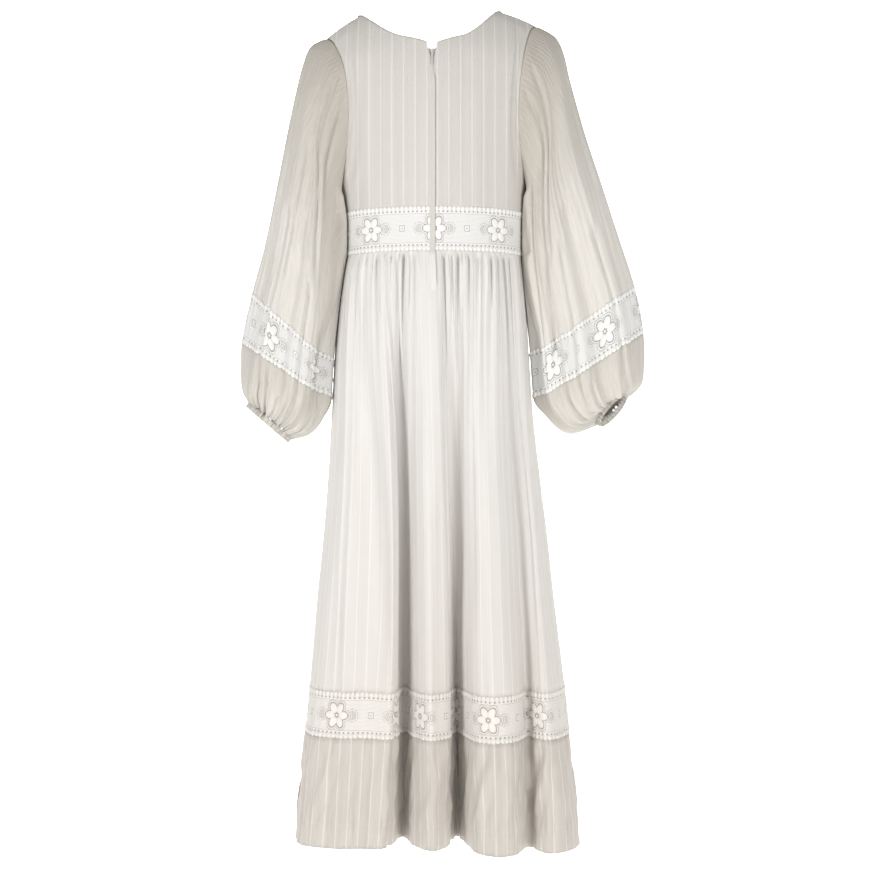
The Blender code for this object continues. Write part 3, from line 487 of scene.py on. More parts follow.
def sleeve(side, strip, along):
    """The sleeve, by strips round from its outer end and millimetres along it."""
    knots, strips = sleeve_knots(side)
    strip, along = np.broadcast_arrays(np.asarray(strip, float), np.asarray(along, float))
    high, low, mid_fold, lace_fold = curve(knots, strip, strips, (360, 360, 0, 0))
    lace_top, end = SLEEVE_LACE[side][0], SLEEVE_END[side]
    angle = lerp(high, low, ease(along / lace_top))
    edge = armhole(side, strip) + np.array([side * ARMHOLE_SEAM * MM, 0, 0])
    underarm, tip = ARMHOLES[side][0][2], ARMHOLES[side][-1][2]
    head_mid, head_arm = (underarm + tip) / 2, (underarm - tip) / 2
    sewn = np.degrees(np.arccos(np.clip((head_mid + edge[..., 2] / MM) / head_arm, -1, 1)))
    sewn = np.where(np.mod(strip, strips) <= STRIPS_BEHIND, sewn, 360 - sewn)
    sewn = sewn + 360 * np.floor(strip / strips)
    angle = np.where(along < SETTLE, lerp(sewn, angle, ease(along / SETTLE)), angle)
    columns = curve(SLEEVES[side], np.minimum(along, end))
    outer_x, outer_drop, inner_x, inner_drop, depth, centre_y = columns
    upper = lerp(mid_fold * ease(along / 160), lace_fold, ease((along - 220) / (lace_top - 220)))
    lower = lace_fold * (1 - ease((along - lace_top - 60) / (end - lace_top - 60)))
    fold = np.where(along < lace_top, upper, lower)
    a = np.radians(angle)
    middle = np.stack([(outer_x + inner_x) / 2, centre_y, (outer_drop + inner_drop) / 2], -1)
    arm = np.stack([(outer_x - inner_x) / 2, 0 * a, (outer_drop - inner_drop) / 2], -1)
    back = np.stack([0 * a, depth, 0 * a], -1)
    arm_size = np.linalg.norm(arm, axis=-1, keepdims=True)
    cosine, sine = np.cos(a)[..., None], np.sin(a)[..., None]
    outward = arm / arm_size**2 * cosine + back / depth[..., None] ** 2 * sine
    outward /= np.linalg.norm(outward, axis=-1, keepdims=True)
    left_over = end - along
    wave = lerp(CASING_SWELL, CUFF_GATHER_SWELL, ease(left_over / 18))
    wave = wave * (1 - ease((left_over - 18) / CUFF_GATHER_REACH)) * np.cos(np.pi * strip)
    found = middle + arm * cosine + back * sine + outward * (wave - fold)[..., None]
    axis = np.stack([-arm[..., 2], 0 * a, arm[..., 0]], -1) / arm_size
    axis = axis * np.where(axis[..., 2:] < 0, -1, 1)
    tilt = CUFF_TILT[side] * (1 - ease(left_over / CUFF_GATHER_REACH)) * np.sin(a)
    found = found + axis * (np.maximum(along - end, 0) - tilt)[..., None]
    world = point(side * found[..., 0], found[..., 1], found[..., 2])
    outer_x, outer_drop, inner_x, inner_drop, depth, centre_y = SLEEVES[side][0][1:]
    head = point(
        side * ((outer_x + inner_x) / 2 + (outer_x - inner_x) / 2 * np.cos(a)),
        centre_y + depth * np.sin(a),
        (outer_drop + inner_drop) / 2 + (outer_drop - inner_drop) / 2 * np.cos(a),
    )
    world = world + (edge - head) * (1 - ease(along / ARMHOLE_BLEND))[..., None]
    clear = lerp(ARMHOLE_SEAM, SLEEVE_CLEAR, ease(along / 40))
    least = body_side(side, world[..., 1] / MM, -world[..., 2] / MM) + clear
    soft = 2.5 * ease(along / 40) + 1e-3
    spare = (side * world[..., 0] / MM - least) / soft
    pushed = side * (least + soft * np.logaddexp(0, np.clip(spare, -30, 30))) * MM
    bow = np.minimum(np.abs(world[..., 1]) / MM / np.where(world[..., 1] > 0, 60, 78), 1)
    hole = ARMHOLES[side][0][2] - 160 * (1 - np.sqrt(1 - bow**2))
    near = ease((-world[..., 2] / MM - hole + 3) / 14) * (spare < 30)
    world[..., 0] = lerp(world[..., 0], pushed, near)
    return world


for side in (1, -1):
    print("sleeve", side, "has", sleeve_knots(side)[1], "strips")

# %% [markdown]
# ## Cloth from a grid
# Cloth is a flat sheet first. So each piece starts as Blender's own grid, its corners are moved
# onto the panel's surface, and a Solidify modifier gives it a real thickness. The UV map keeps
# the place of every point on the flat cloth, in metres, so stripes and lace follow the folds.


def steps(start, end, count):
    return np.linspace(start, end, count + 1)


def normals_of(points, facing):
    """Unit normals of a grid of points."""
    across = np.gradient(points, axis=1)
    down = np.gradient(points, axis=0)
    n = np.cross(across, down) * facing
    return n / np.maximum(np.linalg.norm(n, axis=-1, keepdims=True), 1e-12)


def lengths(points, axis):
    """Distance run over a grid of points, along one of its two directions."""
    step = np.linalg.norm(np.diff(points, axis=axis), axis=-1)
    start = np.zeros_like(np.take(step, [0], axis=axis))
    return np.concatenate([start, np.cumsum(step, axis=axis)], axis=axis)


def keep_shape(bm, name):
    mesh = bpy.data.meshes.new(name)
    bm.to_mesh(mesh)
    bm.free()
    return mesh


def bent_grid(name, points, flat_u, flat_v, facing, closed):
    """Blender's grid, moved onto a grid of points, with its flat places as UVs."""
    rows, columns = points.shape[:2]
    bm = bmesh.new()
    bmesh.ops.create_grid(bm, x_segments=columns - 1, y_segments=rows - 1, size=0.5)
    uv = bm.loops.layers.uv.new("UVMap")
    for face in bm.faces:
        for loop in face.loops:
            i = round((loop.vert.co.x + 0.5) * (columns - 1))
            k = round((loop.vert.co.y + 0.5) * (rows - 1))
            loop[uv].uv = (flat_u[k, i], flat_v[k, i])
    for vert in bm.verts:
        i = round((vert.co.x + 0.5) * (columns - 1))
        k = round((vert.co.y + 0.5) * (rows - 1))
        vert.co = points[k, i]
    if facing < 0:
        bmesh.ops.reverse_faces(bm, faces=bm.faces)
    if closed:
        bmesh.ops.remove_doubles(bm, verts=bm.verts, dist=1e-6)
    mesh = keep_shape(bm, name)
    mesh.shade_smooth()
    return mesh


def add_piece(name, mesh, finish):
    piece = bpy.data.objects.new(name, mesh)
    bpy.context.scene.collection.objects.link(piece)
    mesh.materials.append(finish)
    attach(piece, BODY)
    return piece


def cloth(name, surface, across, down, finish, node, held, on=(), creases=None, facing=1,
          closed=False, thick=0.6, flat_u=None, flat_v=None, widest_row=None):
    """A piece of cloth that takes a node's place, and the grid that trims are laid on."""
    u, v = np.meshgrid(across, down)
    points = surface(u, v)
    if creases is not None:
        points = points + normals_of(points, facing) * creases(u, v)[..., None] * MM
    if closed:
        points[:, -1] = points[:, 0]
    flat_u = lengths(points, 1) if flat_u is None else flat_u(u, v)
    flat_v = lengths(points, 0) if flat_v is None else flat_v(u, v)
    mesh = bent_grid(name, points, flat_u, flat_v, facing, closed)
    piece = add_piece(name, mesh, finish)
    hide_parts(node)
    solidify = piece.modifiers.new("thickness", "SOLIDIFY")
    solidify.thickness = thick * MM
    solidify.offset = -1
    row_lengths = lengths(points, 1)[:, -1]
    wide = row_lengths.max() if widest_row is None else row_lengths[widest_row]
    long = lengths(points, 0)[-1].max()
    sides = np.diff(points, axis=1)[:-1], np.diff(points, axis=0)[:, :-1]
    area = np.linalg.norm(np.cross(*sides), axis=-1).sum()
    sheet = {"piece": piece, "flat": (wide, long), "area": area, "held": held, "on": on, "with": []}
    print(f"{name}: {len(mesh.polygons)} faces, cut {wide:.3f} x {long:.3f} m, {area:.3f} square metres")
    normals = normals_of(points, facing)
    return {"sheet": sheet, "points": points, "normals": normals, "u": flat_u, "v": flat_v}


def ripple(x, pitch, seed):
    """An uneven wave between about -1 and 1, whose crests lie about one pitch apart."""
    turn = 2 * np.pi * x / pitch
    uneven = np.sin(turn * 0.37 + 1.3 * seed) * 1.1
    return 0.62 * np.sin(turn + uneven + seed) + 0.38 * np.sin(1.71 * turn + 2.3 * seed)


def crease(x, at, width):
    """A soft groove across x, 1 deep at its middle."""
    return np.exp(-(((x - at) / width) ** 2))


print("a wave of pitch 1 at 0, 0.25 and 0.5:", np.round(ripple(np.array([0, 0.25, 0.5]), 1.0, 1), 2))

# %% [markdown]
# ## Fabric finishes
# The dress has two cottons. The body is a firm white one with a narrow satin stripe every
# 19 mm, warmer and duller near the hem, and the sleeves are a thin crinkled one that lets light
# through. A material is a small net of nodes, so a few helpers below join them up. Patterns
# read the UV map, in metres.

# %% Node helpers
def new_finish(name, roughness, sheen):
    made = bpy.data.materials.new(name)
    made.use_nodes = True
    shader = made.node_tree.nodes["Principled BSDF"]
    shader.inputs["Roughness"].default_value = roughness
    shader.inputs["Sheen Weight"].default_value = sheen
    shader.inputs["Specular IOR Level"].default_value = 0.25
    return made, made.node_tree, shader


def calc(tree, operation, *values):
    """A Math node's result. Each value is a number or another node's output."""
    node = tree.nodes.new("ShaderNodeMath")
    node.operation = operation
    for socket, value in zip(node.inputs, values):
        if isinstance(value, bpy.types.NodeSocket):
            tree.links.new(value, socket)
        else:
            socket.default_value = value
    return node.outputs[0]


def cloth_place(tree):
    """The place on the flat cloth, across and down, in millimetres."""
    uv = tree.nodes.new("ShaderNodeUVMap")
    uv.uv_map = "UVMap"
    parts = tree.nodes.new("ShaderNodeSeparateXYZ")
    tree.links.new(uv.outputs[0], parts.inputs[0])
    return [calc(tree, "MULTIPLY", parts.outputs[i], 1000.0) for i in (0, 1)]


def own_place(tree):
    """The place on the object itself, in metres."""
    return tree.nodes.new("ShaderNodeTexCoord").outputs["Object"]


def limited(tree, value, most=1.0):
    """A value that stays between 0 and the most it may be."""
    return calc(tree, "MINIMUM", calc(tree, "MAXIMUM", value, 0.0), most)


def noise(tree, x, y, scale, detail=2.0):
    """Uneven grey between 0 and 1 over a place in millimetres."""
    where = tree.nodes.new("ShaderNodeCombineXYZ")
    for value, socket in ((x, where.inputs[0]), (y, where.inputs[1])):
        tree.links.new(value, socket)
    grey = tree.nodes.new("ShaderNodeTexNoise")
    grey.inputs["Scale"].default_value = scale
    grey.inputs["Detail"].default_value = detail
    tree.links.new(where.outputs[0], grey.inputs["Vector"])
    return grey.outputs[0]


def streaks(tree, x, y, across, down, detail=2.0):
    """Noise over a place in millimetres, with a scale of its own in each direction."""
    return noise(tree, calc(tree, "MULTIPLY", x, across), calc(tree, "MULTIPLY", y, down), 1.0, detail)


def grain(tree, scale):
    """Fine noise over the object itself."""
    grey = tree.nodes.new("ShaderNodeTexNoise")
    grey.inputs["Scale"].default_value = scale
    grey.inputs["Detail"].default_value = 2.0
    tree.links.new(own_place(tree), grey.inputs["Vector"])
    return grey.outputs[0]


def blend_colours(tree, share, low, high):
    ramp = tree.nodes.new("ShaderNodeMix")
    ramp.data_type = "RGBA"
    tree.links.new(share, ramp.inputs["Factor"])
    for colour, socket in ((low, ramp.inputs["A"]), (high, ramp.inputs["B"])):
        if isinstance(colour, bpy.types.NodeSocket):
            tree.links.new(colour, socket)
        else:
            socket.default_value = (*colour, 1)
    return ramp.outputs["Result"]


def stripe(tree, x, pitch, width, soft):
    """1 on a stripe that repeats every pitch, and 0 between."""
    off = calc(tree, "PINGPONG", x, pitch / 2)
    return limited(tree, calc(tree, "DIVIDE", calc(tree, "SUBTRACT", width / 2 + soft, off), soft))


def connect(tree, shader, colour, height, distance):
    """Gives the shader its colour, and bumps that stand this many metres high."""
    tree.links.new(colour, shader.inputs["Base Color"])
    bump = tree.nodes.new("ShaderNodeBump")
    bump.inputs["Distance"].default_value = distance
    bump.inputs["Strength"].default_value = 1.0
    tree.links.new(height, bump.inputs["Height"])
    tree.links.new(bump.outputs[0], shader.inputs["Normal"])


print("node helpers ready")

# %% Striped cottons
STRIPE_PITCH, STRIPE_WIDTH = 19.3, 1.7
SATIN_WHITE, SKIRT_WHITE, WARM_HEM = (0.93, 0.925, 0.915), (0.77, 0.76, 0.74), (0.70, 0.67, 0.63)
BODICE_THREAD, BODICE_SHADE = (0.745, 0.73, 0.70), (0.66, 0.64, 0.60)
THREAD_PITCH = 0.7


def striped_cotton(name, thread, shade, satin_share, bands, lower_warmth=0.0, whiter_from=None):
    """Cotton in two thread colours, with its stripe, faint bands and warmth near the hem this strong.

    Below whiter_from, if given, it takes the skirt's own white.
    """
    made, tree, shader = new_finish(name, 0.86, 0.12)
    x, y = cloth_place(tree)
    satin = calc(tree, "MULTIPLY", stripe(tree, x, STRIPE_PITCH, STRIPE_WIDTH, 0.35), satin_share)
    slubs = streaks(tree, x, y, 0.8, 0.045)
    patches = noise(tree, x, y, 0.016, 3.0)
    wide = streaks(tree, x, y, 0.11, 0.0012, 1.0)
    band_colour = tuple(0.86 * c * c for c in thread)
    ground = blend_colours(tree, slubs, shade, thread)
    ground = blend_colours(tree, calc(tree, "MULTIPLY", wide, bands), ground, band_colour)
    ground = blend_colours(tree, calc(tree, "MULTIPLY", patches, 0.4), ground, shade)
    # the colour turns darker and warmer lower down the cloth, towards the hem, by the strength given for it
    low = limited(tree, calc(tree, "DIVIDE", y, 760.0))
    low = calc(tree, "MULTIPLY", calc(tree, "POWER", low, 1.8), lower_warmth)
    ground = blend_colours(tree, low, ground, WARM_HEM)
    if whiter_from is not None:
        below = limited(tree, calc(tree, "DIVIDE", calc(tree, "SUBTRACT", y, whiter_from), 12.0))
        ground = blend_colours(tree, below, ground, SKIRT_WHITE)
    colour = blend_colours(tree, satin, ground, SATIN_WHITE)
    warp = calc(tree, "SINE", calc(tree, "MULTIPLY", x, 2 * math.pi / THREAD_PITCH))
    weft = calc(tree, "SINE", calc(tree, "MULTIPLY", y, 2 * math.pi / THREAD_PITCH))
    weave = calc(tree, "MULTIPLY", calc(tree, "MULTIPLY", warp, weft), 0.12)
    crinkle = streaks(tree, x, y, 0.5, 0.08, 4.0)
    height = calc(tree, "ADD", calc(tree, "ADD", weave, crinkle), calc(tree, "MULTIPLY", satin, 0.6))
    connect(tree, shader, colour, height, 0.0006)
    return made


BODICE_COTTON = striped_cotton("bodice_cotton", BODICE_THREAD, BODICE_SHADE, 0.32, 0.6)
LAP_COTTON = striped_cotton("lap_cotton", BODICE_THREAD, BODICE_SHADE, 0.32, 0.6, 0.0, LACE_FOOT)
SKIRT_COTTON = striped_cotton("skirt_cotton", (0.89, 0.88, 0.865), (0.78, 0.76, 0.73), 0.35, 1.0, 0.95)
HEM_COTTON = striped_cotton("hem_cotton", (0.74, 0.705, 0.665), (0.63, 0.59, 0.545), 0.3, 0.9)
print("made", BODICE_COTTON.name, LAP_COTTON.name, SKIRT_COTTON.name, HEM_COTTON.name)

# %% Sheer crinkled cotton
SHEER_ALPHA = 0.88


def sheer_cotton(name, top_painted_shade):
    """Thin crinkled cotton, with painted shade this strong at the top of each piece."""
    made, tree, shader = new_finish(name, 0.9, 0.15)
    x, y = cloth_place(tree)
    satin = stripe(tree, x, STRIPE_PITCH, 1.8, 0.7)
    bands = streaks(tree, x, y, 0.07, 0.0035)
    pleats = streaks(tree, x, y, 0.3, 0.012, 5.0)
    ground = blend_colours(tree, pleats, (0.66, 0.63, 0.57), (0.92, 0.905, 0.875))
    ground = blend_colours(tree, calc(tree, "MULTIPLY", bands, 0.5), ground, (0.84, 0.81, 0.75))
    # painted shade: the top of each piece is blended towards dark beige, fully at its top edge and not at all
    # 330 mm down the cloth
    low = limited(tree, calc(tree, "DIVIDE", y, 330.0))
    head = calc(tree, "MULTIPLY", calc(tree, "SUBTRACT", 1.0, low), top_painted_shade)
    ground = blend_colours(tree, head, ground, (0.55, 0.515, 0.455))
    colour = blend_colours(tree, calc(tree, "MULTIPLY", satin, 0.08), ground, (0.90, 0.89, 0.86))
    shader.inputs["Alpha"].default_value = SHEER_ALPHA
    fine = streaks(tree, x, y, 1.1, 0.05, 3.0)
    height = calc(tree, "ADD", calc(tree, "MULTIPLY", pleats, 2.0), fine)
    connect(tree, shader, colour, height, 0.001)
    return made


# the sleeves and the puffs below their lace both get painted shade at their tops, 0.9 and 0.5 strong
SHEER_CLOTH = sheer_cotton("sheer_cotton", 0.9)
PUFF_CLOTH = sheer_cotton("sheer_cotton_puff", 0.5)
print("made", SHEER_CLOTH.name, PUFF_CLOTH.name)

# %% [markdown]
# ## The lace band
# The lace is one machine-made band, let in at the waist, the sleeves and the hem. It is a fine
# net with a six-petalled flower every 121 mm, a round of coarser net on each side of it and a
# small square ring between. Its openings carry painted shade and, by the Alpha socket, are a
# little see-through. The thick threads are modelled further down.

# %% Lace colours
LACE_LOW_COLOUR = (0.74, 0.705, 0.66)


def darker_lower_down(tree, colour):
    """A lace colour that turns darker and warmer lower down, towards the hem."""
    parts = tree.nodes.new("ShaderNodeSeparateXYZ")
    tree.links.new(own_place(tree), parts.inputs[0])
    low = calc(tree, "DIVIDE", calc(tree, "ADD", parts.outputs[2], 0.95), -0.2)
    return blend_colours(tree, limited(tree, low, 0.75), colour, LACE_LOW_COLOUR)


# %% Lace net
FLOWER_PITCH = 121.0
LOOP_PITCH = 8.0
BAND = 72.0
PETAL_OUT, PETAL_LONG, PETAL_WIDE = 12.6, 8.9, 6.3
ROUND_OUT, ROUND_SIZE = 28.5, 8.4
GAP_ALPHA, NET_ALPHA = 0.9, 0.75
RING_SIZE = 3.6
NET_EDGE = 24.5
HOLE_ROW, SCALLOP_ROW = 28.2, 33.6


def lace_net():
    made, tree, shader = new_finish("lace_net", 0.85, 0.2)
    x, y = cloth_place(tree)

    def both(operation, a, b):
        return calc(tree, operation, a, b)

    def near(a, size):
        return calc(tree, "LESS_THAN", a, size)

    def between(a, low, high):
        return both("MULTIPLY", calc(tree, "GREATER_THAN", a, low), near(a, high))

    def size_of(a, b):
        return calc(tree, "SQRT", both("ADD", both("MULTIPLY", a, a), both("MULTIPLY", b, b)))

    def within(value, pitch):
        return both("SUBTRACT", calc(tree, "FLOORED_MODULO", both("ADD", value, pitch / 2), pitch), pitch / 2)

    away = calc(tree, "ABSOLUTE", y)
    net_pitch = 2.1
    row = calc(tree, "FLOOR", both("DIVIDE", y, net_pitch))
    shifted = both("ADD", x, both("MULTIPLY", calc(tree, "FLOORED_MODULO", row, 2.0), net_pitch / 2))
    cell_x = within(shifted, net_pitch)
    cell_y = both("SUBTRACT", both("SUBTRACT", y, both("MULTIPLY", row, net_pitch)), net_pitch / 2)
    net_holes = near(size_of(cell_x, cell_y), 0.62)

    from_flower = within(x, FLOWER_PITCH)
    turn = calc(tree, "ARCTAN2", y, from_flower)
    folded = calc(tree, "PINGPONG", calc(tree, "ADD", turn, 2 * math.pi), math.pi / 6)
    radius = size_of(from_flower, y)
    along = both("MULTIPLY", radius, calc(tree, "COSINE", folded))
    across = both("MULTIPLY", radius, calc(tree, "SINE", folded))
    outward = both("DIVIDE", both("SUBTRACT", along, PETAL_OUT), PETAL_LONG)
    reach = size_of(outward, both("DIVIDE", across, PETAL_WIDE))
    in_flower = near(reach, 1.75)
    dots = near(calc(tree, "PINGPONG", calc(tree, "MULTIPLY", turn, 9.0), 0.5), 0.34)
    dotted_line = both("MULTIPLY", between(reach, 1.46, 1.66), dots)
    flower_holes = both("MAXIMUM", between(reach, 0.99, 1.22), dotted_line)

    from_round = both("SUBTRACT", calc(tree, "ABSOLUTE", from_flower), ROUND_OUT)
    round_reach = size_of(from_round, y)
    in_round = near(round_reach, ROUND_SIZE + 2.6)
    lattice = 3.0
    one = calc(tree, "ABSOLUTE", within(both("ADD", x, y), lattice))
    two = calc(tree, "ABSOLUTE", within(both("SUBTRACT", x, y), lattice))
    diamonds = near(both("MAXIMUM", one, two), lattice * 0.36)
    diamonds = both("MULTIPLY", diamonds, near(round_reach, ROUND_SIZE - 0.8))
    rim = between(round_reach, ROUND_SIZE + 1.2, ROUND_SIZE + 2.1)
    lattice_holes = both("MAXIMUM", diamonds, both("MULTIPLY", rim, dots))

    from_ring = calc(tree, "ABSOLUTE", within(both("ADD", x, FLOWER_PITCH / 2), FLOWER_PITCH))
    ring_reach = both("MAXIMUM", from_ring, away)
    in_ring = near(ring_reach, RING_SIZE + 1.5)
    ring_holes = between(ring_reach, RING_SIZE + 0.6, RING_SIZE + 1.5)
    ring_holes = both("MAXIMUM", ring_holes, near(ring_reach, 1.1))

    gaps = both("MULTIPLY", lattice_holes, in_round)
    figures = in_round
    for zone, cut in ((in_flower, flower_holes), (in_ring, ring_holes)):
        outside = both("MULTIPLY", gaps, both("SUBTRACT", 1.0, zone))
        gaps = both("ADD", outside, both("MULTIPLY", zone, cut))
        figures = both("MAXIMUM", figures, zone)
    in_net = near(away, NET_EDGE)
    fine_holes = both("MULTIPLY", both("MULTIPLY", net_holes, both("SUBTRACT", 1.0, figures)), in_net)
    loop_x = within(x, LOOP_PITCH)
    row_holes = near(size_of(loop_x, both("SUBTRACT", away, HOLE_ROW)), 1.6)
    border = both("MULTIPLY", between(away, NET_EDGE - 0.6, NET_EDGE + 0.3), 0.45)
    heading = both("MAXIMUM", both("MULTIPLY", row_holes, both("SUBTRACT", 1.0, in_net)), border)
    gaps = both("MAXIMUM", both("MULTIPLY", gaps, in_net), heading)
    seen = both("SUBTRACT", both("SUBTRACT", 1.0, both("MULTIPLY", gaps, 1 - GAP_ALPHA)),
                both("MULTIPLY", fine_holes, 1 - NET_ALPHA))
    tree.links.new(seen, shader.inputs["Alpha"])

    threads = noise(tree, x, y, 1.3, 3.0)
    colour = blend_colours(tree, threads, (0.75, 0.75, 0.74), (0.84, 0.84, 0.83))
    colour = darker_lower_down(tree, colour)
    # painted shade: the openings, the heading's holes and the net's fine holes are coloured dark, as the
    # shaded inside seen through them
    colour = blend_colours(tree, both("MULTIPLY", gaps, 0.65), colour, (0.25, 0.225, 0.195))
    colour = blend_colours(tree, both("MULTIPLY", fine_holes, 0.2), colour, (0.62, 0.61, 0.59))
    connect(tree, shader, colour, threads, 0.0004)
    return made


LACE_NET = lace_net()
print("made", LACE_NET.name, "with", len(LACE_NET.node_tree.nodes), "nodes")

# %% Thick white thread
def thread_finish():
    made, tree, shader = new_finish("lace_thread", 0.75, 0.25)
    grey = grain(tree, 900.0)
    colour = blend_colours(tree, grey, (0.79, 0.78, 0.76), (0.88, 0.875, 0.86))
    connect(tree, shader, darker_lower_down(tree, colour), grey, 0.0004)
    return made


THREAD = thread_finish()
print("made", THREAD.name)

# %% Creases of the skirt
WAIST_PLEATS = (
    # strip, width in strips, depth, how far down it fades
    (2.6, 0.45, 2.4, 90),
    (4.2, 0.40, 3.4, 150),
    (6.1, 0.35, 2.0, 70),
    (8.0, 0.42, 3.8, 110),
    (9.3, 0.30, 2.0, 60),
    (10.2, 0.34, 3.2, 120),
    (12.0, 0.34, 3.0, 90),
    (13.8, 0.40, 4.4, 210),
    (15.8, 0.36, 5.0, 230),
    (17.2, 0.34, 4.6, 130),
    (19.4, 0.42, 3.4, 100),
    (21.2, 0.45, 2.0, 130),
    (25.3, 0.40, 4.0, 210),
    (27.4, 0.36, 3.4, 120),
    (29.0, 0.32, 4.4, 160),
    (30.1, 0.26, 2.6, 60),
    (31.3, 0.34, 3.8, 110),
    (33.3, 0.40, 3.2, 90),
    (34.4, 0.28, 2.4, 150),
    (35.8, 0.38, 4.2, 110),
    (37.1, 0.34, 3.4, 190),
    (39.0, 0.38, 4.8, 240),
    (41.0, 0.34, 3.4, 130),
    (42.2, 0.32, 3.0, 90),
    (44.9, 0.40, 3.0, 140),
)
LONG_TROUGHS = (
    # strip at its top, strip at its foot, width, depth, drop of its top, drop of its foot
    (2.6, 3.2, 0.8, 2.6, 450, 800),
    (6.3, 7.6, 1.0, 3.4, 430, 900),
    (8.4, 10.4, 0.9, 4.6, 600, 1180),
    (4.4, 5.6, 1.1, 2.4, 900, 1400),
    (12.9, 13.5, 0.35, 2.4, 470, 1420),
    (15.6, 15.2, 0.8, 3.0, 500, 1300),
    (21.2, 20.6, 0.9, 2.2, 430, 760),
    (22.6, 22.0, 0.7, 2.0, 760, 1300),
    (24.4, 24.9, 0.35, 2.6, 520, 1420),
    (29.2, 28.2, 0.8, 3.4, 450, 1100),
    (32.2, 32.0, 0.8, 1.8, 640, 1100),
    (35.2, 34.4, 0.8, 2.4, 440, 820),
    (39.4, 40.3, 0.4, 2.6, 450, 1420),
    (42.4, 42.0, 0.7, 2.6, 560, 1150),
    (44.9, 45.6, 0.9, 2.8, 700, 1380),
    (54.0, 54.8, 0.8, 3.0, 470, 1250),
    (60.2, 60.0, 0.6, 3.4, 450, 1100),
    (68.3, 69.1, 0.9, 3.0, 560, 1350),
    (76.5, 75.9, 0.7, 3.4, 450, 1150),
    (84.4, 85.2, 0.9, 2.6, 520, 1300),
)
EVEN_GATHERS_KEPT, PLEAT_DEEPER, TROUGH_DEEPER = 0.15, 2.1, 2.0


def side_calm(strip, drop):
    """Small where the sleeves hang against the sides of the skirt."""
    at_side = np.zeros_like(strip)
    for place in (0, RIGHT_SIDE, SKIRT_STRIPS):
        at_side = np.maximum(at_side, np.exp(-(((strip - place) / 2.2) ** 2)))
    return 1 - 0.85 * at_side * (1 - ease((drop - 620) / 120))


def zip_calm(strip, drop):
    """1 over most of the skirt, falling to 0 where the zip lap holds the cloth flat."""
    low = 1 - ease((drop - 500) / 60)
    return 1 - low * np.exp(-(((strip - CENTRE_BACK) / 1.5) ** 2))


def waist_pleats(strip, below):
    """Uneven gathers: placed one by one behind, and from a wave round the front."""
    found = np.zeros_like(below)
    for at, width, depth, reach in WAIST_PLEATS:
        fade = np.exp(-((below / reach) ** 1.5))
        found = found - PLEAT_DEEPER * depth * crease(strip, at + below * 0.002 * math.sin(at), width) * fade
    in_front = ease((strip - RIGHT_SIDE) / 2) * ease((SKIRT_STRIPS - strip) / 2)
    found = found + 3.0 * ripple(strip, 2.1, 3.0) * in_front * np.exp(-below / 130)
    return found * ease(below / 16)


def skirt_creases(strip, drop):
    below = drop - LACE_FOOT
    evened = -(1 - EVEN_GATHERS_KEPT) * even_gathers(strip, below)
    fine = 0.8 * ripple(strip, 0.62, 2.0) * np.exp(-below / 45) * ease(below / 8)
    pleats = waist_pleats(strip, below) + 1.6 * ease(below / 30) * np.exp(-below / 200)
    troughs = np.zeros_like(below)
    for top_strip, foot_strip, width, depth, top, foot in LONG_TROUGHS:
        run = (drop - top) / (foot - top)
        at = lerp(top_strip, foot_strip, np.clip(run, 0, 1))
        wider = width * (1 + 0.5 * np.clip(run, 0, 1))
        shown = ease(run / 0.25) * (1 - ease((run - 0.7) / 0.3) * (foot < 1400))
        troughs -= TROUGH_DEEPER * depth * crease(strip, at, wider) * shown
    drift = strip + 0.5 * np.sin(below / 310)
    soft = 1.3 * ripple(drift, 2.3, 1.0) * ease(below / 90) * (0.6 + 0.4 * np.sin(below / 170 + strip))
    from_lace = drop - HEM_LACE_FOOT
    slanting = 2.8 * ripple(strip + from_lace / 46, 2.9, 7.0) + 1.1 * ripple(strip - from_lace / 28, 1.7, 9.0)
    slanting = slanting * ease(from_lace / 20) * (1 - ease((drop - HEM_STITCH + 20) / 20))
    puckers = np.zeros_like(below)
    for seam, size in ((HEM_LACE_TOP, 0.7), (HEM_LACE_FOOT, 0.8), (HEM_STITCH, 2.2), (HEM, 1.3)):
        puckers = puckers + size * ripple(strip, 0.9, seam) * np.exp(-np.abs(drop - seam) / 8)
    free = (evened + fine + pleats + troughs + soft) * zip_calm(strip, drop)
    return (free + slanting + puckers) * side_calm(strip, drop)


print("gathers placed by hand:", len(WAIST_PLEATS), "and long troughs:", len(LONG_TROUGHS))


# %% Creases of the bodice and sleeves
def bodice_creases(face):
    """Soft pulls of the bodice, from the seams that hold it."""
    def creases(s, t):
        puckers = 0.5 * ripple(s, 0.075, 3.0) * np.exp(-t / 0.035)
        armhole_pull = 0.7 * ripple(t, 0.16, 5.0) * ease((np.abs(s) - 0.62) / 0.3) * ease(t / 0.1)
        drape = 0.9 * ripple(s + 0.05 * t, 0.31, 2.0) * ease(t / 0.2) * (1 - ease((t - 0.72) / 0.28))
        calm = 1 - np.exp(-((s / 0.09) ** 2)) if face > 0 else 1.0
        at_edges = ease((1 - t) / 0.05) * ease((1 - np.abs(s)) / 0.06)
        return (puckers + (armhole_pull + drape) * at_edges) * calm * ease(t / 0.004)
    return creases


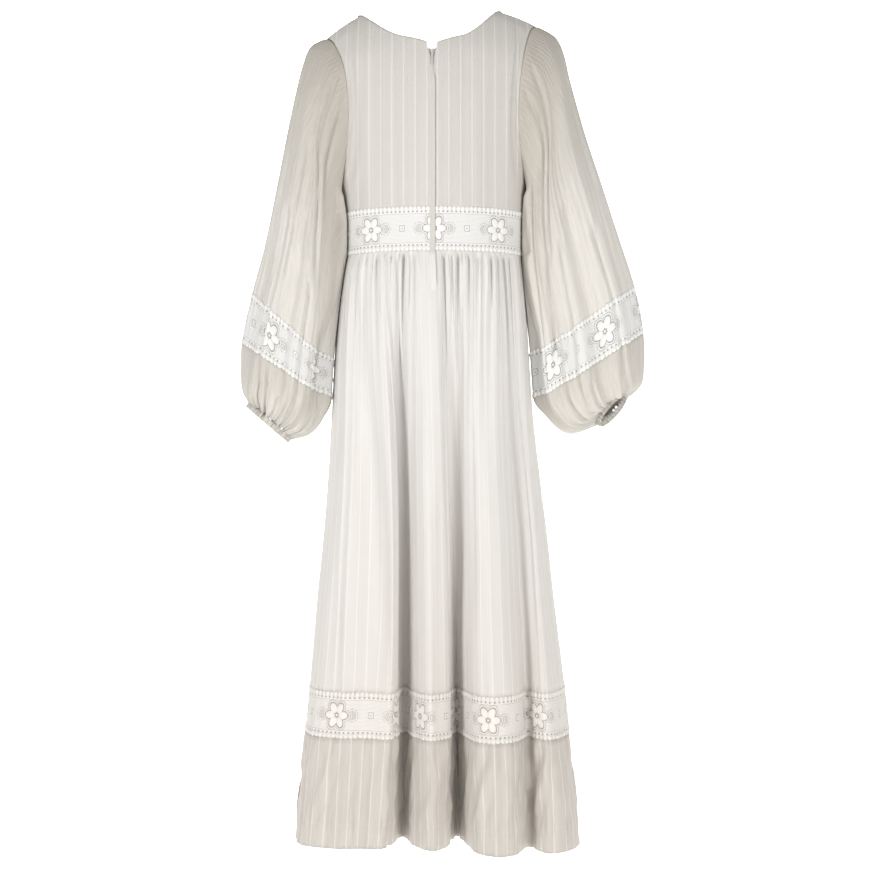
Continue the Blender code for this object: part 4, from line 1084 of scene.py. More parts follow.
SLEEVE_PLEATS = {
    1: (
        # strip at its start, strip at its end, bend, width, depth, where it starts and ends
        (6.6, 6.2, 1, 0.75, 7.5, 260, 700),
        (9.9, 10.3, 1, 0.65, 6.0, 220, 690),
        (12.6, 13.0, 1, 0.60, 6.5, 330, 680),
        (5.5, 13.4, 0.35, 0.45, 5.0, 4, 330),
        (9.5, 15.4, 0.35, 0.40, 5.0, 4, 400),
        (17.4, 16.4, 1, 0.60, 8.0, 90, 650),
        (3.0, 3.4, 1, 0.50, 2.4, 60, 330),
        (8.6, 8.2, 1, 0.45, 2.6, 120, 420),
        (3.4, 3.0, 1, 0.40, 4.5, 560, 720),
        (8.3, 8.3, 1, 0.36, 5.0, 560, 720),
        (11.6, 11.4, 1, 0.36, 5.0, 570, 720),
        (14.6, 14.2, 1, 0.40, 5.0, 550, 720),
        (23.0, 22.5, 1, 0.45, 4.0, 60, 420),
        (26.0, 26.6, 1, 0.50, 4.6, 60, 700),
        (30.5, 30.1, 1, 0.60, 5.0, 200, 700),
        (34.0, 34.5, 1, 0.50, 3.6, 250, 700),
    ),
    -1: (
        (5.2, 5.0, 1, 0.60, 7.5, 330, 730),
        (8.2, 8.0, 1, 0.75, 6.0, 230, 720),
        (11.4, 11.8, 1, 0.70, 6.5, 260, 730),
        (5.5, 13.0, 0.35, 0.45, 4.4, 4, 330),
        (9.0, 14.7, 0.35, 0.38, 5.0, 4, 560),
        (15.8, 16.0, 1, 0.34, 5.5, 60, 580),
        (17.3, 17.2, 1, 0.34, 6.0, 80, 600),
        (2.6, 2.2, 1, 0.50, 2.4, 60, 330),
        (3.2, 3.0, 1, 0.36, 4.5, 590, 750),
        (6.6, 6.8, 1, 0.36, 5.0, 590, 750),
        (9.8, 9.8, 1, 0.36, 5.0, 590, 750),
        (13.6, 13.2, 1, 0.40, 5.0, 580, 750),
        (22.6, 22.0, 1, 0.45, 4.0, 60, 420),
        (26.5, 26.0, 1, 0.50, 4.6, 60, 720),
        (30.0, 30.5, 1, 0.60, 5.0, 220, 720),
        (34.2, 34.0, 1, 0.50, 3.6, 260, 720),
    ),
}


def sleeve_creases(side):
    strips = sleeve_knots(side)[1]

    def creases(strip, along):
        cycle = 2 * np.pi * strip
        turn = cycle / strips
        wide = 8 * np.sin(turn) + 3 * np.cos(2 * turn)
        crinkle = 0.22 * np.sin(3 * cycle + wide) * ease(along / 20)
        crinkle = crinkle * (0.5 + 0.5 * np.sin(5 * turn + along / 90)) * ease((along - 110) / 110)
        sway = 0.5 * wide + 1.4 * np.sin(along / 120 + 3 * turn)
        medium = 0.9 * np.sin(cycle + sway) * ease(along / 60)
        medium = medium * (0.55 + 0.45 * np.sin(3 * turn + along / 70)) * ease((along - 90) / 120)
        head = 0.8 * np.sin(2 * cycle + wide) * np.exp(-along / 40) * ease(along / 6)
        left_over = SLEEVE_END[side] - along
        gathers = np.sin(cycle + 3 * np.sin(2 * turn)) + 0.6 * np.sin(2 * cycle + 4 * np.cos(turn))
        cuff = 1.9 * gathers * np.exp(-np.abs(left_over) / 34) * (1 - 0.55 * (left_over < 0))
        grooves = np.zeros_like(turn)
        for first, last, bend, width, depth, start, end in SLEEVE_PLEATS[side]:
            at = lerp(first, last, np.clip((along - start) / (end - start), 0, 1) ** bend)
            shown = ease((along - start) / 40) * (1 - ease((along - end + 60) / 60))
            grooves = grooves - depth * crease(strip, at, width) * shown
            grooves = grooves + 0.35 * depth * crease(strip, at - 1.8 * width, width) * shown
        return (crinkle + medium + head + cuff + grooves) * ease(along / 12)
    return creases


LEAN_GAP, LEAN_GAP_BELOW, LEAN_REACH = 1.0, -1.5, 26.0
TUCK_IN, TUCK_DEEP, TUCK_DOWN = 2.4, 1.0, 0.9


def hanging_sleeve(side, strip, along):
    """The sleeve's cloth: sewn in under the bodice, and below that leaning on the dress's side."""
    world = sleeve(side, strip, along)
    along = np.broadcast_to(along, world.shape[:-1])
    x, y, drop = side * world[..., 0] / MM, world[..., 1] / MM, -world[..., 2] / MM
    gap = x - body_side(side, y, drop)
    least = lerp(LEAN_GAP, LEAN_GAP_BELOW, ease((drop - LACE_FOOT) / 20))
    share = np.clip((gap - least) / (LEAN_REACH - least), 0, 1)
    leaning = lerp(least, gap, share**2)
    free = ease((along - 30) / 60) * ease((drop - ARMHOLES[side][0][2] - 4) / 20) * (gap < LEAN_REACH)
    free = free * (1 - ease((along - SLEEVE_LACE[side][1]) / 50))
    tucked = 1 - ease(along / 9)
    world[..., 0] = side * (x + (leaning - gap) * free - TUCK_IN * tucked) * MM
    world[..., 1] = (y - TUCK_DEEP * np.sign(y) * tucked) * MM
    world[..., 2] = -(drop + TUCK_DOWN * tucked) * MM
    return world


print("pleats drawn by hand on each sleeve:", len(SLEEVE_PLEATS[1]))

# %% [markdown]
# ## The bodice
# Two back panels meet at the zip under a narrow lap, and one front panel has a deep round neck.
# Each is one curved grid. Stripes run straight down, so the flat place across is taken from how
# far a point is to the side, and near the side seams from the length of the cloth.

# %% Bodice panels
STRIPE_START = {1: 12.8, -1: 4.7}
BODICE_ROWS = 80


def stripe_place(s, t, face):
    """Metres across the flat bodice: stripes upright as seen from behind, closer at the sides."""
    where = bodice(face, s, t)
    x, drop = where[..., 0] / MM, -where[..., 2] / MM
    left, right = curve(TORSO, drop)[:2]
    width = np.where(x > 0, left, right)
    angle = np.arcsin(np.clip(np.abs(x) / width, 0, 0.999))
    flat = np.abs(x) + 0.7 * width * np.maximum(angle - 1.1, 0)
    return np.where(x > 0, flat - STRIPE_START[1], STRIPE_START[-1] - flat) * MM


def build_bodice():
    for name, face, s_values in (
        ("bodice_back_left", 1, steps(1e-4, 1, 80)),
        ("bodice_back_right", 1, steps(-1, -1e-4, 80)),
        ("bodice_front", -1, steps(-1, 1, 110)),
    ):
        cloth(
            name + "_cloth", lambda s, t, face=face: bodice(face, s, t), s_values, steps(1, 0, BODICE_ROWS),
            BODICE_COTTON, name, "hung", creases=bodice_creases(face), facing=face,
            flat_u=lambda s, t, face=face: stripe_place(s, t, face),
            widest_row=round(BODICE_ROWS * (1 - UNDERARM_SHARE)),
        )


build_bodice()

# %% [markdown]
# ## Skirt, lace and hem
# The skirt is a wide tube gathered into the waist. Its folds come from the table, the gathers
# fade out below the seam, and small creases go on top. The lace and the hem flounce below it
# share the same surface, so a fold runs through all three.

# %% Skirt panels
BACK_PER_STRIP, FRONT_PER_STRIP, HEM_BACK_PER_STRIP = 11, 7, 9
LENGTH_DROP = 1187.0
HEM_FLOWER_AT = {"back": 0.105, "front": 0.03}
strip_line = steps(0, SKIRT_STRIPS, SKIRT_STRIPS * 12)
strip_lengths = lengths(skirt(strip_line, np.full_like(strip_line, LENGTH_DROP))[None], 1)[0]
print("the skirt's lace is", round(float(strip_lengths[-1]), 2), "m long")


def skirt_flat(strip, drop):
    return np.interp(strip, strip_line, strip_lengths)


def down_rows(tops, counts):
    """Rows at uneven steps: each pair of heights is split into its own count."""
    parts = [steps(a, b, n)[:-1] for a, b, n in zip(tops, tops[1:], counts)]
    return np.concatenate([*parts, [tops[-1]]])


HEM_ROWS = down_rows((HEM_LACE_FOOT, HEM_STITCH, HEM), (12, 5))


def build_skirt():
    rows = down_rows((LACE_FOOT, 465, 600, HEM_LACE_TOP), (14, 18, 40))
    spans = {
        "skirt_back_left": (0, CENTRE_BACK),
        "skirt_back_right": (CENTRE_BACK, RIGHT_SIDE),
        "skirt_front": (RIGHT_SIDE, SKIRT_STRIPS),
    }
    grids = {}
    for name, (start, end) in spans.items():
        per_strip = BACK_PER_STRIP if "back" in name else FRONT_PER_STRIP
        grids[name] = cloth(
            name + "_cloth", skirt, steps(start, end, (end - start) * per_strip), rows,
            SKIRT_COTTON, name, "gathered", on=("waist_lace_front",),
            creases=skirt_creases, facing=-1, flat_u=skirt_flat,
        )
    middle = (HEM_LACE_TOP + HEM_LACE_FOOT) / 2
    scale = BAND / (HEM_LACE_FOOT - HEM_LACE_TOP) * MM
    for half, start, end, per_strip in (
        ("back", 0, RIGHT_SIDE, HEM_BACK_PER_STRIP),
        ("front", RIGHT_SIDE, SKIRT_STRIPS, FRONT_PER_STRIP),
    ):
        across = steps(start, end, (end - start) * per_strip)
        grids["hem_lace_" + half] = cloth(
            f"hem_lace_{half}_net", skirt, across, steps(HEM_LACE_TOP, HEM_LACE_FOOT, 10),
            LACE_NET, "hem_lace_" + half, "hung", creases=skirt_creases, facing=-1,
            flat_u=lambda u, v, half=half: skirt_flat(u, v) - HEM_FLOWER_AT[half],
            flat_v=lambda u, v: (middle - v) * scale,
        )
        grids["hem_flounce_" + half] = cloth(
            f"hem_flounce_{half}_cloth", skirt, across, HEM_ROWS, HEM_COTTON,
            "hem_flounce_" + half, "hung", creases=skirt_creases, facing=-1, thick=1.4, flat_u=skirt_flat,
        )
    return grids


SKIRT = build_skirt()

# %% Waist lace
def around_waist(degrees):
    """Metres round the waist band from the centre back, by angle."""
    line = steps(-180, 180, 720)
    along = lengths(torso(line, np.full_like(line, (LACE_TOP + LACE_FOOT) / 2))[None], 1)[0]
    return np.interp(degrees, line, along - np.interp(0, line, along))


LACE_EASE = 9.0


def build_waist_lace():
    grids = {}
    middle = (LACE_TOP + LACE_FOOT) / 2
    scale = BAND / (LACE_FOOT - LACE_TOP) * MM
    half_round = float(around_waist(180))
    for name, start, end, count, shift in (
        ("waist_lace_back_left", 0, 90, 90, 0.0),
        ("waist_lace_back_right", -90, 0, 90, 0.0),
        ("waist_lace_front", 90, 270, 150, half_round),
    ):
        def flat(degrees, drop, shift=shift):
            turned = np.where(degrees > 180, degrees - 360, degrees)
            along = around_waist(turned) + LACE_EASE * MM * np.sin(2 * np.radians(turned))
            return np.where(degrees > 180, along + 2 * half_round, along) - shift

        grids[name] = cloth(
            name + "_net", torso, steps(start, end, count), steps(LACE_TOP, LACE_FOOT, 10),
            LACE_NET, name, "stretched", facing=1,
            flat_u=flat, flat_v=lambda u, v: (middle - v) * scale,
        )
    return grids


WAIST = build_waist_lace()

# %% Sleeves, puffs and cuffs
SLEEVE_FLOWER_AT = {1: 0.095, -1: 0.115}


def build_sleeves():
    grids = {}
    for side, name in ((1, "left"), (-1, "right")):
        strips = sleeve_knots(side)[1]
        top, foot = SLEEVE_LACE[side]
        end = SLEEVE_END[side]

        def surface(strip, along, side=side):
            return hanging_sleeve(side, strip, along)

        ring = steps(0, strips, strips * 12)
        ring_length = lengths(surface(ring, np.full_like(ring, (top + foot) / 2))[None], 1)[0]

        def flat_u(strip, along, side=side, strips=strips, ring=ring, ring_length=ring_length):
            low = np.interp(strip, ring, ring_length)
            where = sleeve(side, strip, along) / MM
            off_axis = (side * where[..., 0] - 0.33 * (-where[..., 2]) - 100) * 0.95
            behind_side = np.mod(strip, strips) <= STRIPS_BEHIND
            half = ring_length[-1] / 2
            spread = 1.6 * off_axis * MM
            high = np.where(behind_side, half * 0.5 - spread, half * 1.5 + spread)
            return lerp(high, low, ease((along - 40) / 190))

        middle, scale = (top + foot) / 2, BAND / (foot - top) * MM
        sleeve_rows = down_rows((0, 40, top), (9, 68))
        puff_rows = down_rows((foot, end - 50, end), (10, 15))
        parts = (
            # part, kind, rows, columns a strip, finish, slot, thickness
            ("sleeve", "cloth", sleeve_rows, 7, SHEER_CLOTH, "sheer", 0.35),
            ("sleeve_lace", "net", steps(top, foot, 12), 8, LACE_NET, "lace", 0.6),
            ("sleeve_puff", "cloth", puff_rows, 10, PUFF_CLOTH, "sheer", 0.35),
            ("cuff", "cloth", steps(end, end + 10, 6), 10, PUFF_CLOTH, "sheer", 0.8),
        )
        for part, kind, rows, per_strip, finish, slot, thick in parts:
            node = f"{part}_{name}"
            lace = part == "sleeve_lace"
            place_u, place_v = flat_u, None
            if lace:
                place_u = lambda u, v, flat_u=flat_u, side=side: flat_u(u, v) - SLEEVE_FLOWER_AT[side]
                place_v = lambda u, v, middle=middle, scale=scale: (middle - v) * scale
            grids[node] = cloth(
                f"{node}_{kind}", surface, steps(0, strips, strips * per_strip), rows, finish,
                node, "hung" if lace else "gathered", creases=sleeve_creases(side),
                facing=-side, closed=True, thick=thick, flat_u=place_u, flat_v=place_v,
            )
    return grids


SLEEVE_CLOTH = build_sleeves()

# %% [markdown]
# ## Thick threads of the lace
# The flowers, loops and cords of the lace stand up from the net. They are drawn flat, as a
# pattern with round shapes from Blender's primitives, trimmed to their piece of the band, and
# then each point of the drawing is carried onto the folded cloth at its place and height.

# %% Carry a flat pattern onto cloth
def lay(name, bm, grid, lift):
    """Moves a flat pattern of threads (across, down, height) onto a cloth, this far above it."""
    places = np.array([vert.co for vert in bm.verts])
    u, v = grid["u"][0], grid["v"][:, 0]
    way = -1 if v[0] > v[-1] else 1
    v, down = way * v, way * places[:, 1]
    beyond = np.maximum(v[0] - down, 0) - np.maximum(down - v[-1], 0)
    i = np.clip(np.interp(places[:, 0], u, np.arange(len(u))), 0, len(u) - 1.001)
    k = np.clip(np.interp(down, v, np.arange(len(v))), 0, len(v) - 1.001)
    i0, k0 = i.astype(int), k.astype(int)
    share_i, share_k = (i - i0)[:, None], (k - k0)[:, None]

    def read(values):
        low = lerp(values[k0, i0], values[k0, i0 + 1], share_i)
        high = lerp(values[k0 + 1, i0], values[k0 + 1, i0 + 1], share_i)
        return lerp(low, high, share_k)

    up = grid["points"][0, i0] - grid["points"][1, i0]
    low_end = k0 > len(v) / 2
    up = np.where(low_end[:, None], grid["points"][-2, i0] - grid["points"][-1, i0], up)
    up /= np.linalg.norm(up, axis=1, keepdims=True)
    found = read(grid["points"]) + read(grid["normals"]) * (places[:, 2:] + lift) + up * beyond[:, None]
    for vert, co in zip(bm.verts, found):
        vert.co = co
    mesh = keep_shape(bm, name)
    mesh.shade_smooth()
    piece = add_piece(name, mesh, THREAD)
    grid["sheet"]["with"].append(piece)
    print(name, len(mesh.polygons), "faces")


def stamp(bm, shape, x, y, turn=0.0):
    """Adds a copy of a small shape to a flat pattern."""
    first = len(bm.verts)
    bm.from_mesh(shape)
    bm.verts.ensure_lookup_table()
    matrix = Matrix.Translation((x, y, 0)) @ Matrix.Rotation(turn, 4, "Z")
    bmesh.ops.transform(bm, matrix=matrix, verts=bm.verts[first:])


def trim(bm, start, end):
    """Cuts a pattern off at both ends of its piece of cloth."""
    for place, outward in ((start, -1), (end, 1)):
        bmesh.ops.bisect_plane(
            bm, geom=[*bm.verts, *bm.edges, *bm.faces], plane_co=(place, 0, 0), plane_no=(outward, 0, 0),
            clear_outer=True,
        )


print("pattern helpers ready")

# %% Small shapes of the lace
def pad(name, long, wide, high, out=0.0, segments=10, rings=5):
    """A soft raised oval of stitches."""
    bm = bmesh.new()
    matrix = Matrix.Translation((out * MM, 0, 0)) @ Matrix.Diagonal((long * MM, wide * MM, high * MM, 1))
    bmesh.ops.create_uvsphere(bm, u_segments=segments, v_segments=rings, radius=1.0, matrix=matrix)
    return keep_shape(bm, name)


def cord_ring(name, radius_at, thick, turns, sides=5):
    """A thin cord along a closed line, given by its distance from the middle at each angle."""
    bm = bmesh.new()
    bmesh.ops.create_grid(bm, x_segments=turns, y_segments=sides, size=0.5)
    for vert in bm.verts:
        angle, roll = (vert.co.x + 0.5) * 2 * math.pi, (vert.co.y + 0.5) * 2 * math.pi
        radius = radius_at(angle) + thick * math.cos(roll)
        vert.co = Vector((radius * math.cos(angle), radius * math.sin(angle), thick * math.sin(roll))) * MM
    bmesh.ops.remove_doubles(bm, verts=bm.verts, dist=1e-6)
    bmesh.ops.recalc_face_normals(bm, faces=bm.faces)
    return keep_shape(bm, name)


def petal_outline(angle):
    """Distance from a flower's middle to the scalloped line round its petals."""
    folded = (angle + math.pi / 6) % (math.pi / 3) - math.pi / 6
    long, wide = PETAL_LONG * 1.35, PETAL_WIDE * 1.35
    a = (math.cos(folded) / long) ** 2 + (math.sin(folded) / wide) ** 2
    b = math.cos(folded) * PETAL_OUT / long**2
    c = (PETAL_OUT / long) ** 2 - 1
    return (b + math.sqrt(max(b * b - a * c, 0.0))) / a


def square_outline(angle):
    return RING_SIZE / max(abs(math.cos(angle)), abs(math.sin(angle))) ** 0.7


PETAL = pad("petal", PETAL_LONG, PETAL_WIDE, 0.75, PETAL_OUT, 14, 6)
BUTTON = pad("button", 2.2, 2.2, 1.0)
SCALLOP = pad("scallop", 3.8, 4.2, 1.4, 0.0, 9, 5)
FLOWER_CORD = cord_ring("flower_cord", petal_outline, 0.55, 72)
ROUND_CORD = cord_ring("round_cord", lambda angle: ROUND_SIZE + 0.4 + 0.35 * math.cos(9 * angle), 0.6, 36)
SQUARE_CORD = cord_ring("square_cord", square_outline, 0.6, 20)
LOOP_CORD = cord_ring("loop_cord", lambda angle: 2.5, 0.5, 11, 4)
print("shapes drawn:", ", ".join(mesh.name for mesh in (PETAL, BUTTON, SCALLOP, FLOWER_CORD, ROUND_CORD)))

# %% Draw the pattern for one piece of the band
def lace_pattern(start, end):
    """The thick threads of a stretch of lace, flat, with its middle line at 0."""
    bm = bmesh.new()
    for number in range(math.floor(start / FLOWER_PITCH), math.ceil(end / FLOWER_PITCH) + 1):
        x = number * FLOWER_PITCH * MM
        for petal in range(6):
            stamp(bm, PETAL, x, 0, petal * math.pi / 3)
        stamp(bm, BUTTON, x, 0)
        stamp(bm, FLOWER_CORD, x, 0)
        for side in (-1, 1):
            stamp(bm, ROUND_CORD, x + side * ROUND_OUT * MM, 0)
        stamp(bm, SQUARE_CORD, x + FLOWER_PITCH / 2 * MM, 0)
    for number in range(math.floor(start / LOOP_PITCH), math.ceil(end / LOOP_PITCH) + 1):
        x = number * LOOP_PITCH * MM
        for side in (-1, 1):
            stamp(bm, SCALLOP, x + LOOP_PITCH / 2 * MM, side * SCALLOP_ROW * MM)
            stamp(bm, LOOP_CORD, x, side * HOLE_ROW * MM)
    trim(bm, start * MM, end * MM)
    return bm


def trim_lace(grids, names):
    for name in names:
        grid = grids[name]
        start, end = grid["u"][0, 0] / MM, grid["u"][0, -1] / MM
        lay(name + "_threads", lace_pattern(start, end), grid, 0.1 * MM)


trim_lace(WAIST, ("waist_lace_back_left", "waist_lace_back_right", "waist_lace_front"))
trim_lace(SKIRT, ("hem_lace_back", "hem_lace_front"))
trim_lace(SLEEVE_CLOTH, ("sleeve_lace_left", "sleeve_lace_right"))

# %% [markdown]
# ## The neck edging
# A narrow lace edging is sewn along the neckline, on top of the front and a little way round
# onto the back. Its rows follow the neck edge, a few millimetres apart, just above the cotton.

# %% Neck edging
NECK_LACE_WIDTH = 8.0
NECK_START = 0.575
PICOT_PITCH = 5.0


def neck_stations():
    """(side, face, s) of each station, from the left back by the front to the right back."""
    back = steps(NECK_START, NECK_SHARE, 4)
    front = steps(NECK_SHARE, 0.0, 70)[1:]
    half = [(1, s) for s in back] + [(-1, s) for s in front]
    return [(1, *place) for place in half] + [(-1, *place) for place in reversed(half[:-1])]


def build_neck_edging():
    stations = neck_stations()
    edge = np.array([
        from_chart(side, face, *top_edge(side, face, np.array(s))) for side, face, s in stations
    ])
    along = np.gradient(edge, axis=0)
    below = np.array([
        bodice(face, np.array(side * max(s, 1e-4)), np.array(0.97)) for side, face, s in stations
    ])
    outward = np.cross(along, below - edge)
    outward /= np.linalg.norm(outward, axis=1, keepdims=True)
    inside = np.array([0, 0, -0.1])
    outward *= np.sign((outward * (edge - inside)).sum(axis=1, keepdims=True))
    away = np.cross(outward, along)
    away /= np.linalg.norm(away, axis=1, keepdims=True)
    away *= np.sign((away * (below - edge)).sum(axis=1, keepdims=True))
    rows = []
    for share in (0.0, 0.5, 1.0):
        far = edge + away * NECK_LACE_WIDTH * share * MM
        row = []
        for (side, face, s), p in zip(stations, far):
            x = side * p[0] / MM
            low = ridge_drop(side, x)
            drop = low if s == NECK_SHARE else max(-p[2] / MM, low)
            row.append(from_chart(side, face, *chart(side, np.array(x), np.array(drop))))
        rows.append(np.array(row) + outward * (OVERLAY + COTTON) * MM)
    points = np.array(rows)
    flat = lengths(points, 1)[0]

    def surface(u, v):
        i, k = np.round(u).astype(int), np.round(v).astype(int)
        return points[k, i]

    return cloth(
        "neck_lace_net", surface, np.arange(len(stations)), np.arange(3), LACE_NET, "neck_lace",
        "hung", on=("bodice_front_cloth",), facing=1, thick=0.5,
        flat_u=lambda u, v: flat[np.round(u).astype(int)], flat_v=lambda u, v: (4.0 - 4.0 * v) * MM,
    )


NECK = build_neck_edging()


def build_neck_picots():
    bm = bmesh.new()
    count = int(NECK["u"][0, -1] / MM / PICOT_PITCH)
    picot = cord_ring("picot", lambda angle: 1.7, 0.45, 10, 4)
    bead = pad("bead", 1.6, 1.6, 0.8, 0.0, 8, 4)
    for number in range(count):
        x = (number + 0.5) * PICOT_PITCH * MM
        stamp(bm, picot, x, 2.6 * MM)
        stamp(bm, bead, x + PICOT_PITCH / 2 * MM, -1.8 * MM)
    lay("neck_lace_threads", bm, NECK, 0.1 * MM)


build_neck_picots()

# %% [markdown]
# ## The zip
# The zip is sewn behind the two back edges and hidden under a lap with one row of topstitching.
# Only the slider, its hanging pull tab and a few teeth show, where the edges part at the nape.

# %% Lap over the zip
LAP_START, LAP_END = -1.2, 12.6
LAP_TOP, ZIP_FOOT = 113.0, 490.0


def behind(offset, drop):
    """The back's surface, this many millimetres to the left of the zip's line.

    On the skirt a few rounds find the cloth strip there, at about 10 mm a strip.
    """
    line = curve(ZIP_LINE, np.maximum(drop, ZIP_LINE[0][0]))[0]
    x = line + offset
    high = np.where((x >= 0)[..., None], on_back(1, x, drop), on_back(-1, x, drop))
    left, _, back, _ = curve(TORSO, drop)
    band = point(x, back * np.sqrt(np.clip(1 - (x / left) ** 2, 0, 1)), drop)
    strip = np.full_like(x, float(CENTRE_BACK))
    low_drop = np.maximum(drop, LACE_FOOT)
    middle = skirt(strip, low_drop)[..., 0]
    for _ in range(8):
        here = skirt(strip, low_drop)[..., 0]
        strip = strip - (middle + offset * MM - here) / MM / 10.0
    low = skirt(strip, low_drop)
    found = np.where((drop > LACE_TOP)[..., None], band, high)
    return np.where((drop > LACE_FOOT)[..., None], low, found)


def on_back(side, x, drop):
    return from_chart(side, 1, *chart(side, np.maximum(side * x, 0), np.minimum(drop, LACE_TOP)))


def lap_surface(offset, drop):
    """The lap's cloth: it stands up along its free edge and sinks into the panel elsewhere."""
    lift = OVERLAY + COTTON + 0.7 * ease((drop - LACE_FOOT) / 20)
    across = (offset - LAP_START) / (LAP_END - LAP_START)
    uneven = 0.3 * ripple(drop, 41.0, 2.0) * (1 - across)
    held = 1 - ease((across - 0.35) / 0.6)
    ends = ease((ZIP_FOOT - drop) / 22) * ease((drop - LAP_TOP) / 22)
    raised = lerp(-0.4, lift + uneven, held * ends)
    return behind(offset, drop) + np.stack([0 * raised, raised, 0 * raised], -1) * MM


LAP_CLOTH = cloth(
    "zip_lap_cloth", lap_surface, steps(LAP_START, LAP_END, 14), steps(LAP_TOP, ZIP_FOOT, 130),
    LAP_COTTON, "zip_lap", "laid", on=("bodice_back_left_cloth",), facing=1, thick=0.5,
    flat_u=lambda u, v: (u - STRIPE_START[1]) * MM, flat_v=lambda u, v: v * MM,
)

# %% Rows of stitches
STITCH_LENGTH, STITCH_GAP = 2.3, 1.0
STITCH = pad("stitch", STITCH_LENGTH / 2, 0.28, 0.28, 0.0, 5, 3)


def stitch_row(name, grid, line, lift):
    """Stitches over a cloth's grid along a line of flat places, given in metres."""
    bm = bmesh.new()
    line = np.array(line)
    run = np.concatenate([[0], np.cumsum(np.linalg.norm(np.diff(line, axis=0), axis=1))])
    for at in np.arange(STITCH_GAP * MM, run[-1], (STITCH_LENGTH + STITCH_GAP) * MM):
        x, y = np.interp(at, run, line[:, 0]), np.interp(at, run, line[:, 1])
        i = min(int(np.searchsorted(run, at)), len(run) - 1)
        turn = math.atan2(*(line[i] - line[i - 1])[::-1])
        stamp(bm, STITCH, x, y, turn)
    lay(name, bm, grid, lift)


lap_stitch_at = (LAP_END - 1.6 - STRIPE_START[1]) * MM
lap_line = [(lap_stitch_at, drop * MM) for drop in steps(LAP_TOP + 2, ZIP_FOOT - 2, 60)]
stitch_row("zip_lap_stitches", LAP_CLOTH, lap_line, 0.5 * MM)
for half in ("back", "front"):
    grid = SKIRT["hem_flounce_" + half]
    stitch_at = float(np.interp(HEM_STITCH, HEM_ROWS, grid["v"][:, 0]))
    hem_line = [(x, stitch_at) for x in grid["u"][0, ::6]]
    stitch_row(f"hem_{half}_stitches", grid, hem_line, 0.05 * MM)

# %% Teeth, tape, slider and pull tab
def metal_finish():
    made, tree, shader = new_finish("zip_metal", 0.38, 0.0)
    shader.inputs["Metallic"].default_value = 0.5
    grey = grain(tree, 700.0)
    colour = blend_colours(tree, grey, (0.60, 0.59, 0.57), (0.82, 0.81, 0.78))
    connect(tree, shader, colour, grey, 0.00008)
    return made


def tape_finish():
    made, tree, shader = new_finish("zip_tape_twill", 0.85, 0.2)
    wave = tree.nodes.new("ShaderNodeTexWave")
    wave.bands_direction = "DIAGONAL"
    wave.inputs["Scale"].default_value = 420.0
    wave.inputs["Distortion"].default_value = 0.6
    tree.links.new(own_place(tree), wave.inputs["Vector"])
    colour = blend_colours(tree, wave.outputs["Fac"], (0.76, 0.74, 0.70), (0.86, 0.85, 0.82))
    connect(tree, shader, colour, wave.outputs["Fac"], 0.0002)
    return made


METAL, TAPE = metal_finish(), tape_finish()
for node, finish in (("zip_slider", METAL), ("zip_pull", METAL), ("zip_tape", TAPE)):
    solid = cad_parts[node]
    for slot in solid.material_slots:
        slot.material = finish


def build_teeth():
    bm = bmesh.new()
    pitch, top, count, aside = 1.5, 80.0, 20, 0.45
    for number in range(count):
        at = behind(np.array(0.0), np.array(top + number * pitch))
        at = at + np.array([aside if number % 2 else -aside, -1.6, 0]) * MM
        size = Matrix.Diagonal((1.5 * MM, 0.8 * MM, 0.9 * MM, 1))
        made = bmesh.ops.create_cube(bm, size=1.0, matrix=Matrix.Translation(Vector(at)) @ size)
        edges = list({edge for vert in made["verts"] for edge in vert.link_edges})
        bmesh.ops.bevel(bm, geom=edges, offset=0.15 * MM, offset_type="OFFSET", segments=1, profile=0.5,
                        affect="EDGES", material=-1)
    mesh = keep_shape(bm, "zip_teeth")
    piece = add_piece("zip_teeth", mesh, METAL)
    print(piece.name, len(mesh.polygons), "faces")


build_teeth()

# %% [markdown]
# ## The cut size of each cloth
# Each cloth piece keeps the size it was cut to, measured along the cloth itself, in its sheet
# record and in what it prints, so that anyone who simulates it later knows how much fabric it holds.

# %% [markdown]
# ## Studio
# The photograph is a bright, soft studio picture against white. A pale floor curves up into a
# backdrop, so that no line shows behind the dress, and large lamps near the camera give light
# with soft edges. The camera stands behind the dress, where its zip shows.

# %% Floor, lamps and camera
PHOTO_METRES = 0.869 * 1.72
CAMERA_AWAY, CAMERA_HEIGHT = 2.7, -0.7215
FLOOR = -1.9


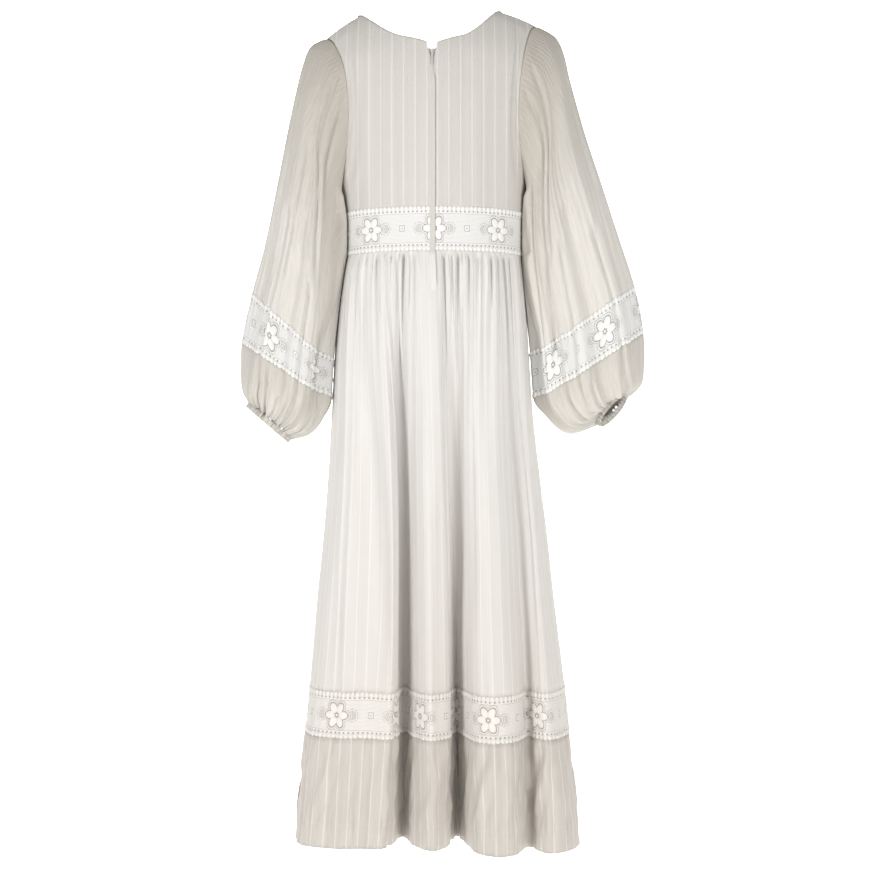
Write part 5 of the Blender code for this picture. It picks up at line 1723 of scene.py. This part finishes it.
def build_floor():
    bm = bmesh.new()
    bmesh.ops.create_grid(bm, x_segments=40, y_segments=60, size=0.5)
    bend_start, radius, long, wide, steeper = 4.6, 1.4, 8.0, 14, 4
    for vert in bm.verts:
        along = long * (vert.co.y + 0.5)
        turn = min(max((along - bend_start) / radius, 0.0), math.pi / 2)
        rise = max(along - bend_start - radius * math.pi / 2, 0.0)
        y = 3.2 - min(along, bend_start) - radius * math.sin(turn)
        z = FLOOR + radius * (1 - math.cos(turn)) + rise * steeper
        vert.co = Vector((vert.co.x * wide, y, z))
    bmesh.ops.recalc_face_normals(bm, faces=bm.faces)
    mesh = keep_shape(bm, "floor")
    mesh.shade_smooth()
    floor = bpy.data.objects.new("floor", mesh)
    bpy.context.scene.collection.objects.link(floor)
    made, _, shader = new_finish("studio_paper", 0.95, 0.0)
    shader.inputs["Base Color"].default_value = (0.93, 0.93, 0.93, 1)
    mesh.materials.append(made)


def add_lamp(name, place, aim, size, watts, colour):
    data = bpy.data.lights.new(name, "AREA")
    data.shape = "DISK"
    data.size = size
    data.energy = watts
    data.color = colour
    lamp = bpy.data.objects.new(name, data)
    lamp.location = place
    lamp.rotation_euler = (Vector(aim) - Vector(place)).to_track_quat("-Z", "Y").to_euler()
    bpy.context.scene.collection.objects.link(lamp)


def build_camera():
    data = bpy.data.cameras.new("camera")
    data.sensor_width = 36.0
    data.lens = data.sensor_width * CAMERA_AWAY / PHOTO_METRES
    camera = bpy.data.objects.new("camera", data)
    camera.location = (0, CAMERA_AWAY, CAMERA_HEIGHT)
    camera.rotation_euler = (math.pi / 2, 0, math.pi)
    bpy.context.scene.collection.objects.link(camera)
    bpy.context.scene.camera = camera
    print("lens", round(data.lens, 1), "mm")


build_floor()
add_lamp("key", (2.5, 2.5, -0.4), (0, 0, -0.75), 1.3, 55.0, (1.0, 0.99, 0.975))
add_lamp("fill", (-1.5, 2.45, -0.75), (0, 0, -0.75), 1.4, 38.0, (1.0, 0.985, 0.96))
add_lamp("backdrop", (0, -1.0, 0.95), (0, -2.8, -0.7), 1.2, 150.0, (1.0, 1.0, 1.0))
world = bpy.context.scene.world or bpy.data.worlds.new("studio")
bpy.context.scene.world = world
world.use_nodes = True
sky = world.node_tree.nodes["Background"]
sky.inputs["Color"].default_value = (1.0, 0.99, 0.98, 1)
sky.inputs["Strength"].default_value = 0.43
bpy.context.scene.view_settings.view_transform = "Standard"
build_camera()
